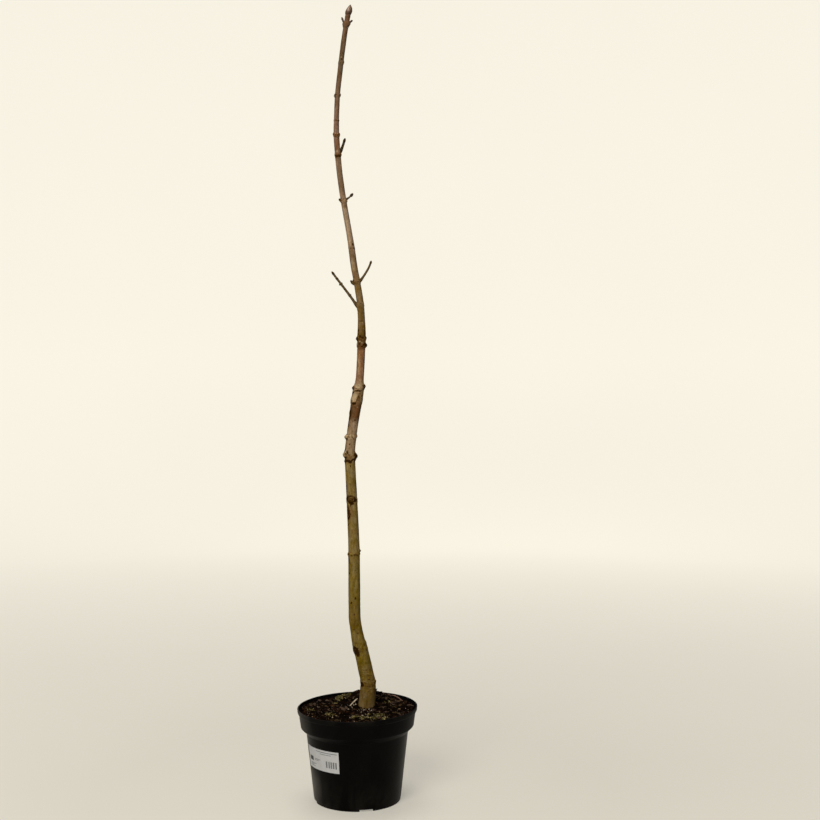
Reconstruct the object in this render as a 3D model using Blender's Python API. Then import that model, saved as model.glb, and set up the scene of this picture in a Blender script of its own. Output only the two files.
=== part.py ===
"""A young tree standing bare in winter in a round black nursery pot.

One stem rises out of the compost, bends at its old growth rings, and carries a few short twigs,
stub buds and a large end bud. Metres, +Z up, origin on the floor at the pot's centre, +X to the
viewer's right and +Y away from the viewer. Azimuths turn from +X (0) over the back (90) to the
left (180) and the front (270).
"""

import math

import bmesh
import bpy
from mathutils import Vector
from mathutils.bvhtree import BVHTree

MM = 0.001
FIT_GAP = 0.3 * MM

# Pot: the moulded wall, with its rim set slightly aslant to the foot.
POT_SIDES = 64
POT_HEIGHT = 0.2112
RIM_SLANT = 0.019
WALL = 0.0015
FOOT_OUTER = 0.0976
FOOT_INNER = 0.0946
FLOOR_UNDERSIDE = 0.0060
FOOT_CHAMFER = 0.0010
BODY_BASE = (0.0990, 0.0078)
BODY_TOP = (0.1150, 0.1552)
BAND_BASE = (0.1277, 0.1692)
BAND_TOP = (0.1318, 0.1975)
LIP_OUTER = 0.1357
LIP_HEIGHT = 0.0095
NOTCH_COUNT = 4
NOTCH_AZIMUTH = 283.7
NOTCH_WIDTH = 0.031
NOTCH_HEIGHT = 0.0044
DRAIN_RADIUS = 0.006
DRAIN_RINGS = ((0.078, 4, 283.7), (0.045, 4, 328.7))

# Compost: nearly level, heaped up behind the stem, with a flat seat under it.
SOIL_LEVEL = 0.2048
SOIL_GAP = 0.0006
SEAT_RADIUS = 0.0242
MOUND_CENTRE = (0.018, 0.084)
MOUND_RISE = 0.022
MOUND_REACH = (0.070, 0.042)
SOIL_RING_PLACES = (0.05, 0.12, 0.22, 0.34, 0.50, 0.68, 0.85, 1.0)

# Stem: (height, x, y) of its middle and (height, radius) of its plain wood.
STEM_FOOT = 0.2050
STEM_TOP = 1.7555
STEM_SIDES = 20
STEM_ROUTE = (
    (STEM_FOOT, 0.0206, 0.0200),
    (0.2580, 0.0239, 0.0190),
    (0.2930, 0.0180, 0.0150),
    (0.3350, 0.0090, 0.0105),
    (0.3700, 0.0007, 0.0075),
    (0.4200, -0.0059, 0.0040),
    (0.5600, -0.0065, -0.0030),
    (0.7000, -0.0118, -0.0020),
    (0.7840, -0.0153, 0.0030),
    (0.8380, -0.0099, 0.0050),
    (0.9180, 0.0024, 0.0020),
    (0.9600, 0.0076, -0.0020),
    (1.0650, 0.0117, -0.0045),
    (1.1050, 0.0103, -0.0035),
    (1.1720, 0.0008, 0.0010),
    (1.1990, -0.0044, 0.0020),
    (1.2520, -0.0117, 0.0030),
    (1.3710, -0.0314, 0.0000),
    (1.4300, -0.0386, -0.0025),
    (1.5030, -0.0433, -0.0035),
    (1.5680, -0.0414, -0.0015),
    (1.6340, -0.0348, 0.0015),
    (1.7120, -0.0246, 0.0010),
    (STEM_TOP, -0.0170, 0.0010),
)
STEM_RADIUS = (
    (STEM_FOOT, 0.0222),
    (0.2350, 0.0194),
    (0.2930, 0.0168),
    (0.3450, 0.0163),
    (0.3890, 0.0138),
    (0.5260, 0.0131),
    (0.6500, 0.0123),
    (0.7970, 0.0115),
    (0.8380, 0.0114),
    (0.9180, 0.0128),
    (0.9360, 0.0118),
    (0.9460, 0.0099),
    (0.9580, 0.0090),
    (1.0120, 0.0089),
    (1.0400, 0.0096),
    (1.0900, 0.0080),
    (1.2400, 0.0073),
    (1.2780, 0.0066),
    (1.4800, 0.0064),
    (1.5450, 0.0057),
    (STEM_TOP, 0.0058),
)

# Growth rings: (height, swell, half length, azimuth of the leaf pair, dip between the pair).
GROWTH_RINGS = (
    (0.2630, 0.0006, 0.0060, 0, 0.0015),
    (0.3460, 0.0007, 0.0070, 0, 0.0060),
    (0.5605, 0.0010, 0.0045, 10, 0.0020),
    (0.6830, 0.0006, 0.0090, 270, 0.0020),
    (0.7810, 0.0021, 0.0075, 0, 0.0050),
    (0.8235, 0.0006, 0.0050, 20, 0.0020),
    (0.9050, 0.0008, 0.0100, 225, 0.0030),
    (0.9330, 0.0022, 0.0060, 0, 0.0030),
    (1.0250, 0.0024, 0.0048, 0, 0.0010),
    (1.0430, 0.0015, 0.0045, 180, 0.0010),
    (1.1180, 0.0006, 0.0090, 180, 0.0030),
    (1.1690, 0.0009, 0.0070, 0, 0.0020),
    (1.2440, 0.0004, 0.0030, 70, 0.0005),
    (1.3480, 0.0010, 0.0060, 0, 0.0020),
    (1.4430, 0.0010, 0.0055, 10, 0.0015),
    (1.4940, 0.0016, 0.0045, 0, 0.0010),
    (1.5240, 0.0004, 0.0030, 60, 0.0005),
    (1.5790, 0.0015, 0.0050, 175, 0.0010),
    (1.6520, 0.0008, 0.0055, 330, 0.0020),
    (1.7340, 0.0017, 0.0080, 10, 0.0015),
    (1.7500, 0.0004, 0.0022, 0, 0.0),
)

# Knobs: (height, azimuth, rise, half length, half width in degrees) of bud seats and old scars.
KNOBS = (
    (0.2650, 0, 0.0013, 0.0040, 40),
    (0.3360, 190, 0.0022, 0.0110, 48),
    (0.3560, 350, 0.0014, 0.0070, 50),
    (0.5668, 355, 0.0030, 0.0042, 34),
    (0.5570, 200, 0.0010, 0.0080, 40),
    (0.6820, 268, 0.0014, 0.0110, 60),
    (0.6830, 88, 0.0014, 0.0110, 60),
    (0.7850, 182, 0.0026, 0.0120, 62),
    (0.7690, 188, 0.0018, 0.0050, 45),
    (0.7790, 352, 0.0034, 0.0130, 58),
    (0.8235, 182, 0.0024, 0.0050, 42),
    (0.8240, 358, 0.0006, 0.0045, 40),
    (0.8780, 192, 0.0008, 0.0060, 40),
    (0.9080, 205, 0.0012, 0.0120, 60),
    (0.9380, 356, 0.0030, 0.0055, 42),
    (0.9350, 178, 0.0006, 0.0060, 45),
    (1.0270, 355, 0.0016, 0.0045, 44),
    (1.0240, 184, 0.0010, 0.0040, 40),
    (1.0440, 180, 0.0013, 0.0045, 46),
    (1.0460, 358, 0.0008, 0.0040, 40),
    (1.1140, 180, 0.0016, 0.0110, 60),
    (1.1700, 180, 0.0013, 0.0070, 60),
    (1.1710, 0, 0.0013, 0.0070, 60),
    (1.3470, 180, 0.0010, 0.0060, 60),
    (1.3480, 0, 0.0012, 0.0060, 60),
    (1.4510, 0, 0.0014, 0.0075, 60),
    (1.4940, 180, 0.0008, 0.0035, 46),
    (1.4940, 0, 0.0007, 0.0035, 46),
    (1.5770, 185, 0.0008, 0.0060, 50),
    (1.5800, 0, 0.0005, 0.0045, 50),
    (1.6500, 335, 0.0009, 0.0055, 50),
    (1.7350, 180, 0.0012, 0.0070, 60),
    (1.7350, 0, 0.0012, 0.0070, 60),
)
EVEN_STEP = 0.024
LEAST_STEP = 0.0029

# Shoots: name, height and azimuth of the root, rise over the horizontal at root, middle and tip,
# length, radius at root and neck, radius and length of the end bud.
SHOOTS = (
    ("twig_low_left", 1.1185, 180, (56, 52, 54), 0.0915, 0.0021, 0.0015, 0.0018, 0.0090),
    ("twig_mid_right", 1.1727, 0, (53, 59, 75), 0.0500, 0.0017, 0.0013, 0.0017, 0.0070),
    ("twig_high_right", 1.3520, 0, (26, 42, 55), 0.0185, 0.0015, 0.0013, 0.0025, 0.0080),
    ("twig_top_right", 1.4565, 0, (64, 72, 74), 0.0300, 0.0021, 0.0018, 0.0021, 0.0090),
    ("stub_mid_left", 1.1680, 180, (30, 40, 45), 0.0040, 0.0024, 0.0020, 0.0021, 0.0026),
    ("stub_high_left", 1.3507, 180, (35, 42, 45), 0.0028, 0.0017, 0.0014, 0.0015, 0.0018),
    ("side_bud_left", 1.7395, 180, (60, 70, 76), 0.0108, 0.0015, 0.0014, 0.0017, 0.0078),
    ("side_bud_right", 1.7388, 0, (30, 40, 46), 0.0070, 0.0017, 0.0015, 0.0019, 0.0055),
)
SHOOT_SIDES = 8
SHOOT_STEPS = 12
SEAT_REACH = 0.03
SEAT_FADE = 4
LEAST_SEAT_SLOPE = 0.35
# Swellings along the long twig, as (share of its length, rise, half length).
LONG_TWIG_RINGS = ((0.27, 0.0004, 0.003), (0.62, 0.0008, 0.004), (0.78, 0.0005, 0.003))

# End bud: its lean and (share of its length, radius).
BUD_LENGTH = 0.0212
BUD_SIDES = 14
BUD_DRIFT = Vector((0.0052, -0.0006, 0.0))
BUD_OUTLINE = (
    (0.00, 0.0060),
    (0.12, 0.0067),
    (0.38, 0.0070),
    (0.60, 0.0063),
    (0.80, 0.0040),
    (0.93, 0.0018),
    (1.00, 0.0006),
)
BUD_STEPS = 11
BUD_SQUARING = 0.035

# Label: a strip of card round the left front of the pot's wall.
LABEL_AZIMUTHS = (197.0, 250.5)
LABEL_LEVELS = (0.0868, 0.1357)
LABEL_THICKNESS = 0.0003
LABEL_STEPS = 12

# Splinter of pale wood lying on the heap, beside the stem's left back.
CHIP_ENDS = ((-0.0180, 0.0200), (-0.0018, 0.0580))
CHIP_WIDTH = 0.0034
CHIP_THICKNESS = 0.0012


def bell(t):
    """1 at the middle, falling smoothly to 0 at t = -1 and t = 1."""
    return (1 - t * t) ** 2 if abs(t) < 1 else 0.0


def smooth(table, at, column=1):
    """A table's column read at a place in its first column, on a curve that never overshoots."""
    last = len(table) - 1
    at = min(max(at, table[0][0]), table[last][0])
    i = max(k for k in range(last) if table[k][0] <= at)

    def slope(k):
        return (table[k + 1][column] - table[k][column]) / (table[k + 1][0] - table[k][0])

    def tangent(k):
        before = slope(max(k - 1, 0))
        after = slope(min(k, last - 1))
        return 0.0 if before * after <= 0 else 2 * before * after / (before + after)

    span = table[i + 1][0] - table[i][0]
    t = (at - table[i][0]) / span
    return (
        (1 + 2 * t) * (1 - t) ** 2 * table[i][column]
        + t * (1 - t) ** 2 * span * tangent(i)
        + t * t * (3 - 2 * t) * table[i + 1][column]
        + t * t * (t - 1) * span * tangent(i + 1)
    )


def material(name, colour, roughness, metallic=0.0):
    found = bpy.data.materials.get(name)
    if found:
        return found
    made = bpy.data.materials.new(name)
    made.use_nodes = True
    shader = made.node_tree.nodes["Principled BSDF"]
    shader.inputs["Base Color"].default_value = (*colour, 1.0)
    shader.inputs["Roughness"].default_value = roughness
    shader.inputs["Metallic"].default_value = metallic
    return made


def finish(name, bm, look, sharp_degrees=40):
    """Turns a bmesh into the object of that name, with its faces out and its round sides smooth."""
    bmesh.ops.recalc_face_normals(bm, faces=bm.faces)
    mesh = bpy.data.meshes.new(name)
    bm.to_mesh(mesh)
    bm.free()
    mesh.materials.append(look)
    mesh.shade_smooth()
    mesh.set_sharp_from_angle(angle=math.radians(sharp_degrees))
    made = bpy.data.objects.new(name, mesh)
    bpy.context.scene.collection.objects.link(made)
    return made


def skin(rings, ends):
    """A closed bmesh through rings of points, each end closed by a fan round its middle point."""
    bm = bmesh.new()
    loops = [[bm.verts.new(point) for point in ring] for ring in rings]
    for lower, upper in zip(loops, loops[1:]):
        for i in range(len(lower)):
            bm.faces.new((lower[i - 1], lower[i], upper[i], upper[i - 1]))
    for loop, middle in ((loops[0], ends[0]), (loops[-1], ends[1])):
        centre = bm.verts.new(middle)
        for i in range(len(loop)):
            bm.faces.new((loop[i - 1], loop[i], centre))
    return bm


def average(points):
    return sum(points, Vector()) / len(points)


def around(count, turn=0.0):
    """Evenly spaced azimuths in radians."""
    return [math.tau * (i + turn) / count for i in range(count)]


def slanted(point):
    """The place of a pot point once the rim is set aslant: right side up, left side down."""
    return Vector((point.x, point.y, point.z + RIM_SLANT * point.x * point.z / POT_HEIGHT))


def wall_radius(z):
    """Outer radius of the pot's tapered body at a height."""
    share = (z - BODY_BASE[1]) / (BODY_TOP[1] - BODY_BASE[1])
    return BODY_BASE[0] + share * (BODY_TOP[0] - BODY_BASE[0])


def pot_profile():
    """(radius, height) from the middle of the floor's top, up the inside, over the lip, to below."""
    floor_top = FLOOR_UNDERSIDE + WALL
    lip_base = POT_HEIGHT - LIP_HEIGHT
    inside = [
        (0.0, floor_top),
        (BODY_BASE[0] - WALL - 0.0020, floor_top),
        (BODY_BASE[0] - WALL, floor_top + 0.0022),
        (BODY_TOP[0] - WALL, BODY_TOP[1] + 0.0008),
        (BAND_BASE[0] - WALL - 0.0010, BAND_BASE[1] + 0.0006),
        (BAND_BASE[0] - WALL, BAND_BASE[1] + 0.0022),
        (BAND_TOP[0] - WALL, BAND_TOP[1]),
        (LIP_OUTER - 0.0034, lip_base + 0.0030),
        (LIP_OUTER - 0.0034, POT_HEIGHT - 0.0007),
        (LIP_OUTER - 0.0027, POT_HEIGHT),
    ]
    outside = [
        (LIP_OUTER - 0.0008, POT_HEIGHT),
        (LIP_OUTER, POT_HEIGHT - 0.0009),
        (LIP_OUTER - 0.0004, lip_base + 0.0030),
        (LIP_OUTER - 0.0016, lip_base),
        (BAND_TOP[0] + 0.0004, lip_base - 0.0014),
        BAND_TOP,
        (BAND_BASE[0], BAND_BASE[1] + 0.0012),
        (BAND_BASE[0] - 0.0010, BAND_BASE[1] - 0.0008),
        (BODY_TOP[0] + 0.0012, BODY_TOP[1] + 0.0028),
        BODY_TOP,
        BODY_BASE,
        (FOOT_OUTER + 0.0008, BODY_BASE[1] - 0.0024),
        (FOOT_OUTER, FOOT_CHAMFER),
        (FOOT_OUTER - FOOT_CHAMFER, 0.0),
        (FOOT_INNER, 0.0),
        (FOOT_INNER - 0.0010, FLOOR_UNDERSIDE),
        (0.0, FLOOR_UNDERSIDE),
    ]
    return inside + outside


def cutter(bm, name, group):
    made = finish(name, bm, material("cutter", (0.5, 0.5, 0.5), 0.5))
    made.hide_render = True
    made.display_type = "WIRE"
    bpy.context.scene.collection.objects.unlink(made)
    group.objects.link(made)


def make_pot():
    """The turned shell, cut by the notches in its foot and the drain holes in its floor."""
    bm = bmesh.new()
    points = [bm.verts.new((radius, 0.0, z)) for radius, z in pot_profile()]
    edges = [bm.edges.new(pair) for pair in zip(points, points[1:])]
    bmesh.ops.spin(
        bm, geom=points + edges, cent=(0, 0, 0), axis=(0, 0, 1), angle=math.tau, steps=POT_SIDES
    )
    bmesh.ops.remove_doubles(bm, verts=bm.verts, dist=0.00001)
    for vert in bm.verts:
        vert.co = slanted(vert.co)
    pot = finish("pot", bm, material("pot_plastic", (0.012, 0.012, 0.012), 0.42))

    group = bpy.data.collections.new("pot_cutters")
    bpy.context.scene.collection.children.link(group)
    for i in range(NOTCH_COUNT):
        azimuth = math.radians(NOTCH_AZIMUTH) + math.tau * i / NOTCH_COUNT
        bm = bmesh.new()
        bmesh.ops.create_cube(bm, size=1.0)
        bmesh.ops.scale(bm, vec=(0.020, NOTCH_WIDTH, 2 * NOTCH_HEIGHT), verts=bm.verts)
        bmesh.ops.translate(bm, vec=(FOOT_OUTER, 0, 0), verts=bm.verts)
        turn = Vector((math.cos(azimuth), math.sin(azimuth), 0)).to_track_quat("X", "Z")
        bmesh.ops.rotate(bm, cent=(0, 0, 0), matrix=turn.to_matrix(), verts=bm.verts)
        cutter(bm, f"notch_cutter_{i + 1}", group)
    for reach, count, start in DRAIN_RINGS:
        for i in range(count):
            azimuth = math.radians(start) + math.tau * i / count
            bm = bmesh.new()
            bmesh.ops.create_cone(
                bm, cap_ends=True, segments=12, radius1=DRAIN_RADIUS, radius2=DRAIN_RADIUS, depth=0.012
            )
            place = (reach * math.cos(azimuth), reach * math.sin(azimuth), FLOOR_UNDERSIDE)
            bmesh.ops.translate(bm, vec=place, verts=bm.verts)
            cutter(bm, f"drain_cutter_{round(reach / MM)}_{i + 1}", group)
    cut = pot.modifiers.new("drainage", "BOOLEAN")
    cut.operation = "DIFFERENCE"
    cut.operand_type = "COLLECTION"
    cut.collection = group


def soil_height(x, y):
    """Height of the compost's surface, away from the flat seat under the stem."""
    aside = (x - MOUND_CENTRE[0]) / MOUND_REACH[0]
    behind = (y - MOUND_CENTRE[1]) / MOUND_REACH[1]
    ripple = 0.0006 * math.sin(61 * x + 1.3) * math.cos(53 * y - 0.4)
    slant = RIM_SLANT * x
    return SOIL_LEVEL + slant + ripple + MOUND_RISE * bell(math.hypot(aside, behind))


def make_soil():
    """The compost as one solid that fills the pot: its rings run from the seat out to the wall."""
    foot = Vector(STEM_ROUTE[0][1:])
    seat_level = STEM_FOOT - FIT_GAP
    turns = around(POT_SIDES)
    ways = [Vector((math.cos(a), math.sin(a))) for a in turns]
    wall = BAND_TOP[0] - WALL - SOIL_GAP
    seat = [Vector((*(foot + SEAT_RADIUS * way), seat_level)) for way in ways]
    rings = [seat]
    for share in SOIL_RING_PLACES:
        ring = []
        for start, way in zip(seat, ways):
            place = start.xy.lerp(wall * way, share)
            ring.append(Vector((*place, soil_height(*place))))
        rings.append(ring)
    side = (
        (BAND_BASE[0] - WALL - SOIL_GAP, BAND_BASE[1] + 0.0030),
        (BODY_TOP[0] - WALL - SOIL_GAP, BODY_TOP[1] + 0.0020),
        (BODY_BASE[0] - WALL - 0.0010, FLOOR_UNDERSIDE + WALL + 0.0040),
        (BODY_BASE[0] - WALL - 0.0045, FLOOR_UNDERSIDE + WALL + FIT_GAP),
    )
    for radius, z in side:
        rings.append([slanted(Vector((*(radius * way), z))) for way in ways])
    below = Vector((0, 0, side[-1][1]))
    bm = skin(rings, (Vector((*foot, seat_level)), below))
    finish("soil", bm, material("compost", (0.030, 0.017, 0.010), 0.95))


def stem_middle(z):
    return Vector((smooth(STEM_ROUTE, z, 1), smooth(STEM_ROUTE, z, 2), z))


def stem_radius(z, azimuth):
    radius = smooth(STEM_RADIUS, z)
    for height, swell, reach, pair, dip in GROWTH_RINGS:
        line = height - dip * math.sin(azimuth - math.radians(pair)) ** 2
        radius += swell * bell((z - line) / reach)
    for height, turn, rise, reach, spread in KNOBS:
        aside = math.remainder(azimuth - math.radians(turn), math.tau)
        radius += rise * bell((z - height) / reach) * bell(aside / math.radians(spread))
    return radius


def stem_point(z, azimuth):
    away = stem_radius(z, azimuth)
    return stem_middle(z) + Vector((away * math.cos(azimuth), away * math.sin(azimuth), 0))


def stem_levels():
    """Heights of the stem's rings of points: even ones, and closer ones over each swelling."""
    marks = [STEM_FOOT + EVEN_STEP * i for i in range(int((STEM_TOP - STEM_FOOT) / EVEN_STEP))]
    for height, swell, reach, pair, dip in GROWTH_RINGS:
        marks += [height + reach * place for place in (-0.9, -0.4, 0.0, 0.4, 0.9)]
    for height, turn, rise, reach, spread in KNOBS:
        marks += [height + reach * place for place in (-0.7, 0.0, 0.7)]
    kept = [STEM_FOOT]
    for mark in sorted(marks):
        if mark - kept[-1] > LEAST_STEP and STEM_TOP - mark > LEAST_STEP:
            kept.append(mark)
    return kept + [STEM_TOP]


def make_stem():
    """The stem as one solid. It returns a search tree of its faces, for the shoots to sit on."""
    rings = [[stem_point(z, a) for a in around(STEM_SIDES)] for z in stem_levels()]
    bm = skin(rings, (stem_middle(STEM_FOOT), stem_middle(STEM_TOP)))
    bmesh.ops.recalc_face_normals(bm, faces=bm.faces)
    surface = BVHTree.FromBMesh(bm)
    finish("trunk", bm, material("bark", (0.150, 0.100, 0.042), 0.80), 50)
    return surface


def seated(point, way, surface):
    """The point slid along its way until it stands just clear of the stem's surface."""
    hit, normal, face, distance = surface.ray_cast(point + SEAT_REACH * way, -way)
    return hit + FIT_GAP / max(normal.dot(way), LEAST_SEAT_SLOPE) * way


def shoot_axis(root, azimuth, rises, length, at):
    """(place, direction) at a distance along a shoot whose rise changes steadily from its root."""
    steps = 24
    place = root.copy()
    outward = Vector((math.cos(azimuth), math.sin(azimuth), 0))
    way = Vector()
    for i in range(steps + 1):
        share = at / length * i / steps
        if share < 0.5:
            rise = rises[0] + (rises[1] - rises[0]) * 2 * share
        else:
            rise = rises[1] + (rises[2] - rises[1]) * (2 * share - 1)
        rise = math.radians(rise)
        way = outward * math.cos(rise) + Vector((0, 0, math.sin(rise)))
        if i < steps:
            place += way * at / steps
    return place, way


def shoot_radius(shoot, at):
    name, height, azimuth, rises, length, root, neck, bud, bud_length = shoot
    bud_start = length - bud_length
    if at > bud_start:
        outline = ((0, neck), (0.40, bud), (0.78, 0.66 * bud), (1.0, 0.16 * bud))
        return smooth(outline, (at - bud_start) / bud_length)
    radius = root + (neck - root) * at / bud_start
    radius += 0.25 * root * bell(at / (4 * root))
    if name == "twig_low_left":
        for share, rise, reach in LONG_TWIG_RINGS:
            radius += rise * bell((at - share * length) / reach)
    return radius


def make_shoot(shoot, look, surface):
    """A tapering twig or bud with its end bud, its root cut to the stem's round surface."""
    name, height, azimuth, rises, length = shoot[:5]
    azimuth = math.radians(azimuth)
    root = stem_point(height, azimuth)

    def ring(at):
        place, way = shoot_axis(root, azimuth, rises, length, at)
        aside = Vector((-math.sin(azimuth), math.cos(azimuth), 0))
        up = way.cross(aside)
        radius = shoot_radius(shoot, at)
        turns = around(SHOOT_SIDES)
        return [place + radius * (math.cos(a) * aside + math.sin(a) * up) for a in turns], way

    start, way = ring(0.0)
    foot = [seated(point, way, surface) for point in start]
    seat = seated(root, way, surface)
    slides = [(there - here).dot(way) for there, here in zip(foot, start)]
    fade = min(length, SEAT_FADE * max(slides))
    rings = [[seated(root.lerp(point, 0.5), way, surface) for point in start], foot]
    for i in range(1, SHOOT_STEPS + 1):
        at = length * i / SHOOT_STEPS
        left = max(0.0, 1 - at / fade)
        points, way = ring(at)
        rings.append([point + left * slide * way for point, slide in zip(points, slides)])
    bm = skin(rings, (seat, average(rings[-1])))
    finish(name, bm, look)


def make_end_bud():
    """The egg-shaped bud, a little four-sided from its paired scales, leaning off the stem's end."""
    base = stem_middle(STEM_TOP) + Vector((0, 0, FIT_GAP))
    rings = []
    for i in range(BUD_STEPS + 1):
        share = i / BUD_STEPS
        middle = base + share * BUD_DRIFT + Vector((0, 0, share * BUD_LENGTH))
        ring = []
        for a in around(BUD_SIDES):
            radius = smooth(BUD_OUTLINE, share) * (1 + BUD_SQUARING * math.cos(4 * a) * bell(share))
            ring.append(middle + Vector((radius * math.cos(a), radius * math.sin(a), 0)))
        rings.append(ring)
    bm = skin(rings, (average(rings[0]), average(rings[-1])))
    finish("terminal_bud", bm, material("bud_scales", (0.200, 0.110, 0.070), 0.55))


def make_label():
    """A bent strip, made as a thin bar that follows the wall a little clear of it."""
    low, high = LABEL_LEVELS
    first, last = LABEL_AZIMUTHS
    rings = []
    for i in range(LABEL_STEPS + 1):
        azimuth = math.radians(first + (last - first) * i / LABEL_STEPS)
        way = Vector((math.cos(azimuth), math.sin(azimuth), 0))
        ring = []
        for level, out in ((low, 0), (low, LABEL_THICKNESS), (high, LABEL_THICKNESS), (high, 0)):
            point = (wall_radius(level) + FIT_GAP + out) * way
            ring.append(slanted(Vector((point.x, point.y, level))))
        rings.append(ring)
    bm = skin(rings, (average(rings[0]), average(rings[-1])))
    finish("label", bm, material("label_card", (0.80, 0.79, 0.76), 0.60))


def make_chip():
    """A flat splinter with pointed ends that lies along the side of the heap."""
    start, end = (Vector(place) for place in CHIP_ENDS)
    along = (end - start).normalized()
    aside = Vector((-along.y, along.x))
    outline = ((0.0, 0.20), (0.25, 0.85), (0.60, 1.0), (0.85, 0.80), (1.0, 0.30))
    shares = [row[0] for row in outline]

    def bottom(share, side, lift):
        place = start.lerp(end, share) + side * aside
        low, high = soil_height(*start), soil_height(*end)
        return Vector((*place, low + (high - low) * share + lift))

    half = CHIP_WIDTH / 2
    spots = [bottom(share, side, 0.0) for share in shares for side in (-half, 0, half)]
    lift = max(soil_height(spot.x, spot.y) - spot.z for spot in spots) + FIT_GAP
    rings = []
    for share, width in outline:
        thick = CHIP_THICKNESS * (0.5 + 0.5 * width)
        rings.append(
            [
                bottom(share, -half * width, lift),
                bottom(share, half * width, lift),
                bottom(share, half * width, lift + thick),
                bottom(share, -half * width, lift + thick),
            ]
        )
    bm = skin(rings, (average(rings[0]), average(rings[-1])))
    finish("wood_chip", bm, material("bare_wood", (0.52, 0.40, 0.26), 0.75))


def main():
    for old in list(bpy.data.objects):
        bpy.data.objects.remove(old)
    make_pot()
    make_soil()
    surface = make_stem()
    twig_bark = material("twig_bark", (0.090, 0.060, 0.035), 0.75)
    bud_scales = material("bud_scales", (0.200, 0.110, 0.070), 0.55)
    for shoot in SHOOTS:
        look = bud_scales if shoot[0].startswith("side_bud") else twig_bark
        make_shoot(shoot, look, surface)
    make_end_bud()
    make_label()
    make_chip()


main()
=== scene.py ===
"""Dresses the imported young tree: bark relief, twigs, buds, pot, compost, label, camera and light.

Metres, +Z up, +X to the viewer's right and +Y away from the viewer. Azimuths turn from +X (0) over
the back (90) to the left (180) and the front (270). The sizes are those of the part's own source, and
tables that go through metres() hold their lengths in millimetres.
"""

import math

import bmesh
import bpy
import numpy as np
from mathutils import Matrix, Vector


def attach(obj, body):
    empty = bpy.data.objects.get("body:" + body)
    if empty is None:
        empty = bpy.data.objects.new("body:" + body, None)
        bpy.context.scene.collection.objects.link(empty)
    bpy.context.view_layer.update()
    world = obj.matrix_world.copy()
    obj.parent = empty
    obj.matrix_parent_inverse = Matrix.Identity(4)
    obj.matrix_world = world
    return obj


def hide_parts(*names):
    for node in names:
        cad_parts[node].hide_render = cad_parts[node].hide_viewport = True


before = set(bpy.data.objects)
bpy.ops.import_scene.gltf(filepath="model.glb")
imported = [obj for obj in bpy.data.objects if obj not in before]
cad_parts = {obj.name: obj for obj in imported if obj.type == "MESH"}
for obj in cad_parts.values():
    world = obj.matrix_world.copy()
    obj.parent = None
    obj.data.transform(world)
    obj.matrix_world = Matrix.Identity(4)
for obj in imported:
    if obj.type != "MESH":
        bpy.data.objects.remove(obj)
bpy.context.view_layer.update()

MM = 0.001
ROOT = "root"
TAU = math.tau


def metres(columns, rows):
    """A table's rows, with its numbered columns brought from millimetres to metres."""
    return [
        tuple(round(value / 1000, 7) if i in columns else value for i, value in enumerate(row))
        for row in rows
    ]


# Pot, as built.
POT_HEIGHT = 0.2112
RIM_SLANT = 0.019
WALL = 0.0015
FOOT_OUTER = 0.0976
FOOT_INNER = 0.0946
FLOOR_UNDERSIDE = 0.0060
BODY_BASE = (0.0990, 0.0078)
BODY_TOP = (0.1150, 0.1552)
BAND_BASE = (0.1277, 0.1692)
BAND_TOP = (0.1318, 0.1975)
LIP_OUTER = 0.1357
LIP_HEIGHT = 0.0095
NOTCH_COUNT = 4
NOTCH_AZIMUTH = 283.7
NOTCH_WIDTH = 0.031
NOTCH_HEIGHT = 0.0044
DRAIN_RADIUS = 0.006
DRAIN_RINGS = ((0.078, 4, 283.7), (0.045, 4, 328.7))

# Compost, as built.
SOIL_LEVEL = 0.2048
MOUND_CENTRE = (0.018, 0.084)
MOUND_RISE = 0.022
MOUND_REACH = (0.070, 0.042)
SOIL_EDGE = 0.1298

# Stem, as built: (height, x, y) of its middle and (height, radius) of its plain wood.
STEM_ROUTE = metres((0, 1, 2), [
    (205, 20.6, 20), (258, 23.9, 19), (293, 18, 15), (335, 9, 10.5), (370, 0.7, 7.5), (420, -5.9, 4),
    (560, -6.5, -3), (700, -11.8, -2), (784, -15.3, 3), (838, -9.9, 5), (918, 2.4, 2), (960, 7.6, -2),
    (1065, 11.7, -4.5), (1105, 10.3, -3.5), (1172, 0.8, 1), (1199, -4.4, 2), (1252, -11.7, 3),
    (1371, -31.4, 0), (1430, -38.6, -2.5), (1503, -43.3, -3.5), (1568, -41.4, -1.5), (1634, -34.8, 1.5),
    (1712, -24.6, 1), (1755.5, -17, 1),
])
STEM_RADIUS = metres((0, 1), [
    (205, 19), (235, 18.2), (293, 16.8), (345, 16.3), (389, 13.8), (526, 13.1), (650, 12.3), (797, 11.5),
    (838, 11.4), (918, 12.8), (936, 11.8), (946, 9.9), (958, 9), (1012, 8.9), (1040, 9.6), (1090, 8),
    (1240, 7.3), (1278, 6.6), (1480, 6.4), (1545, 5.7), (1755.5, 5.8),
])
STEM_FOOT = STEM_ROUTE[0][0]
STEM_TOP = STEM_ROUTE[-1][0]
STEM_PLACE = STEM_ROUTE[0][1:]

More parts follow.
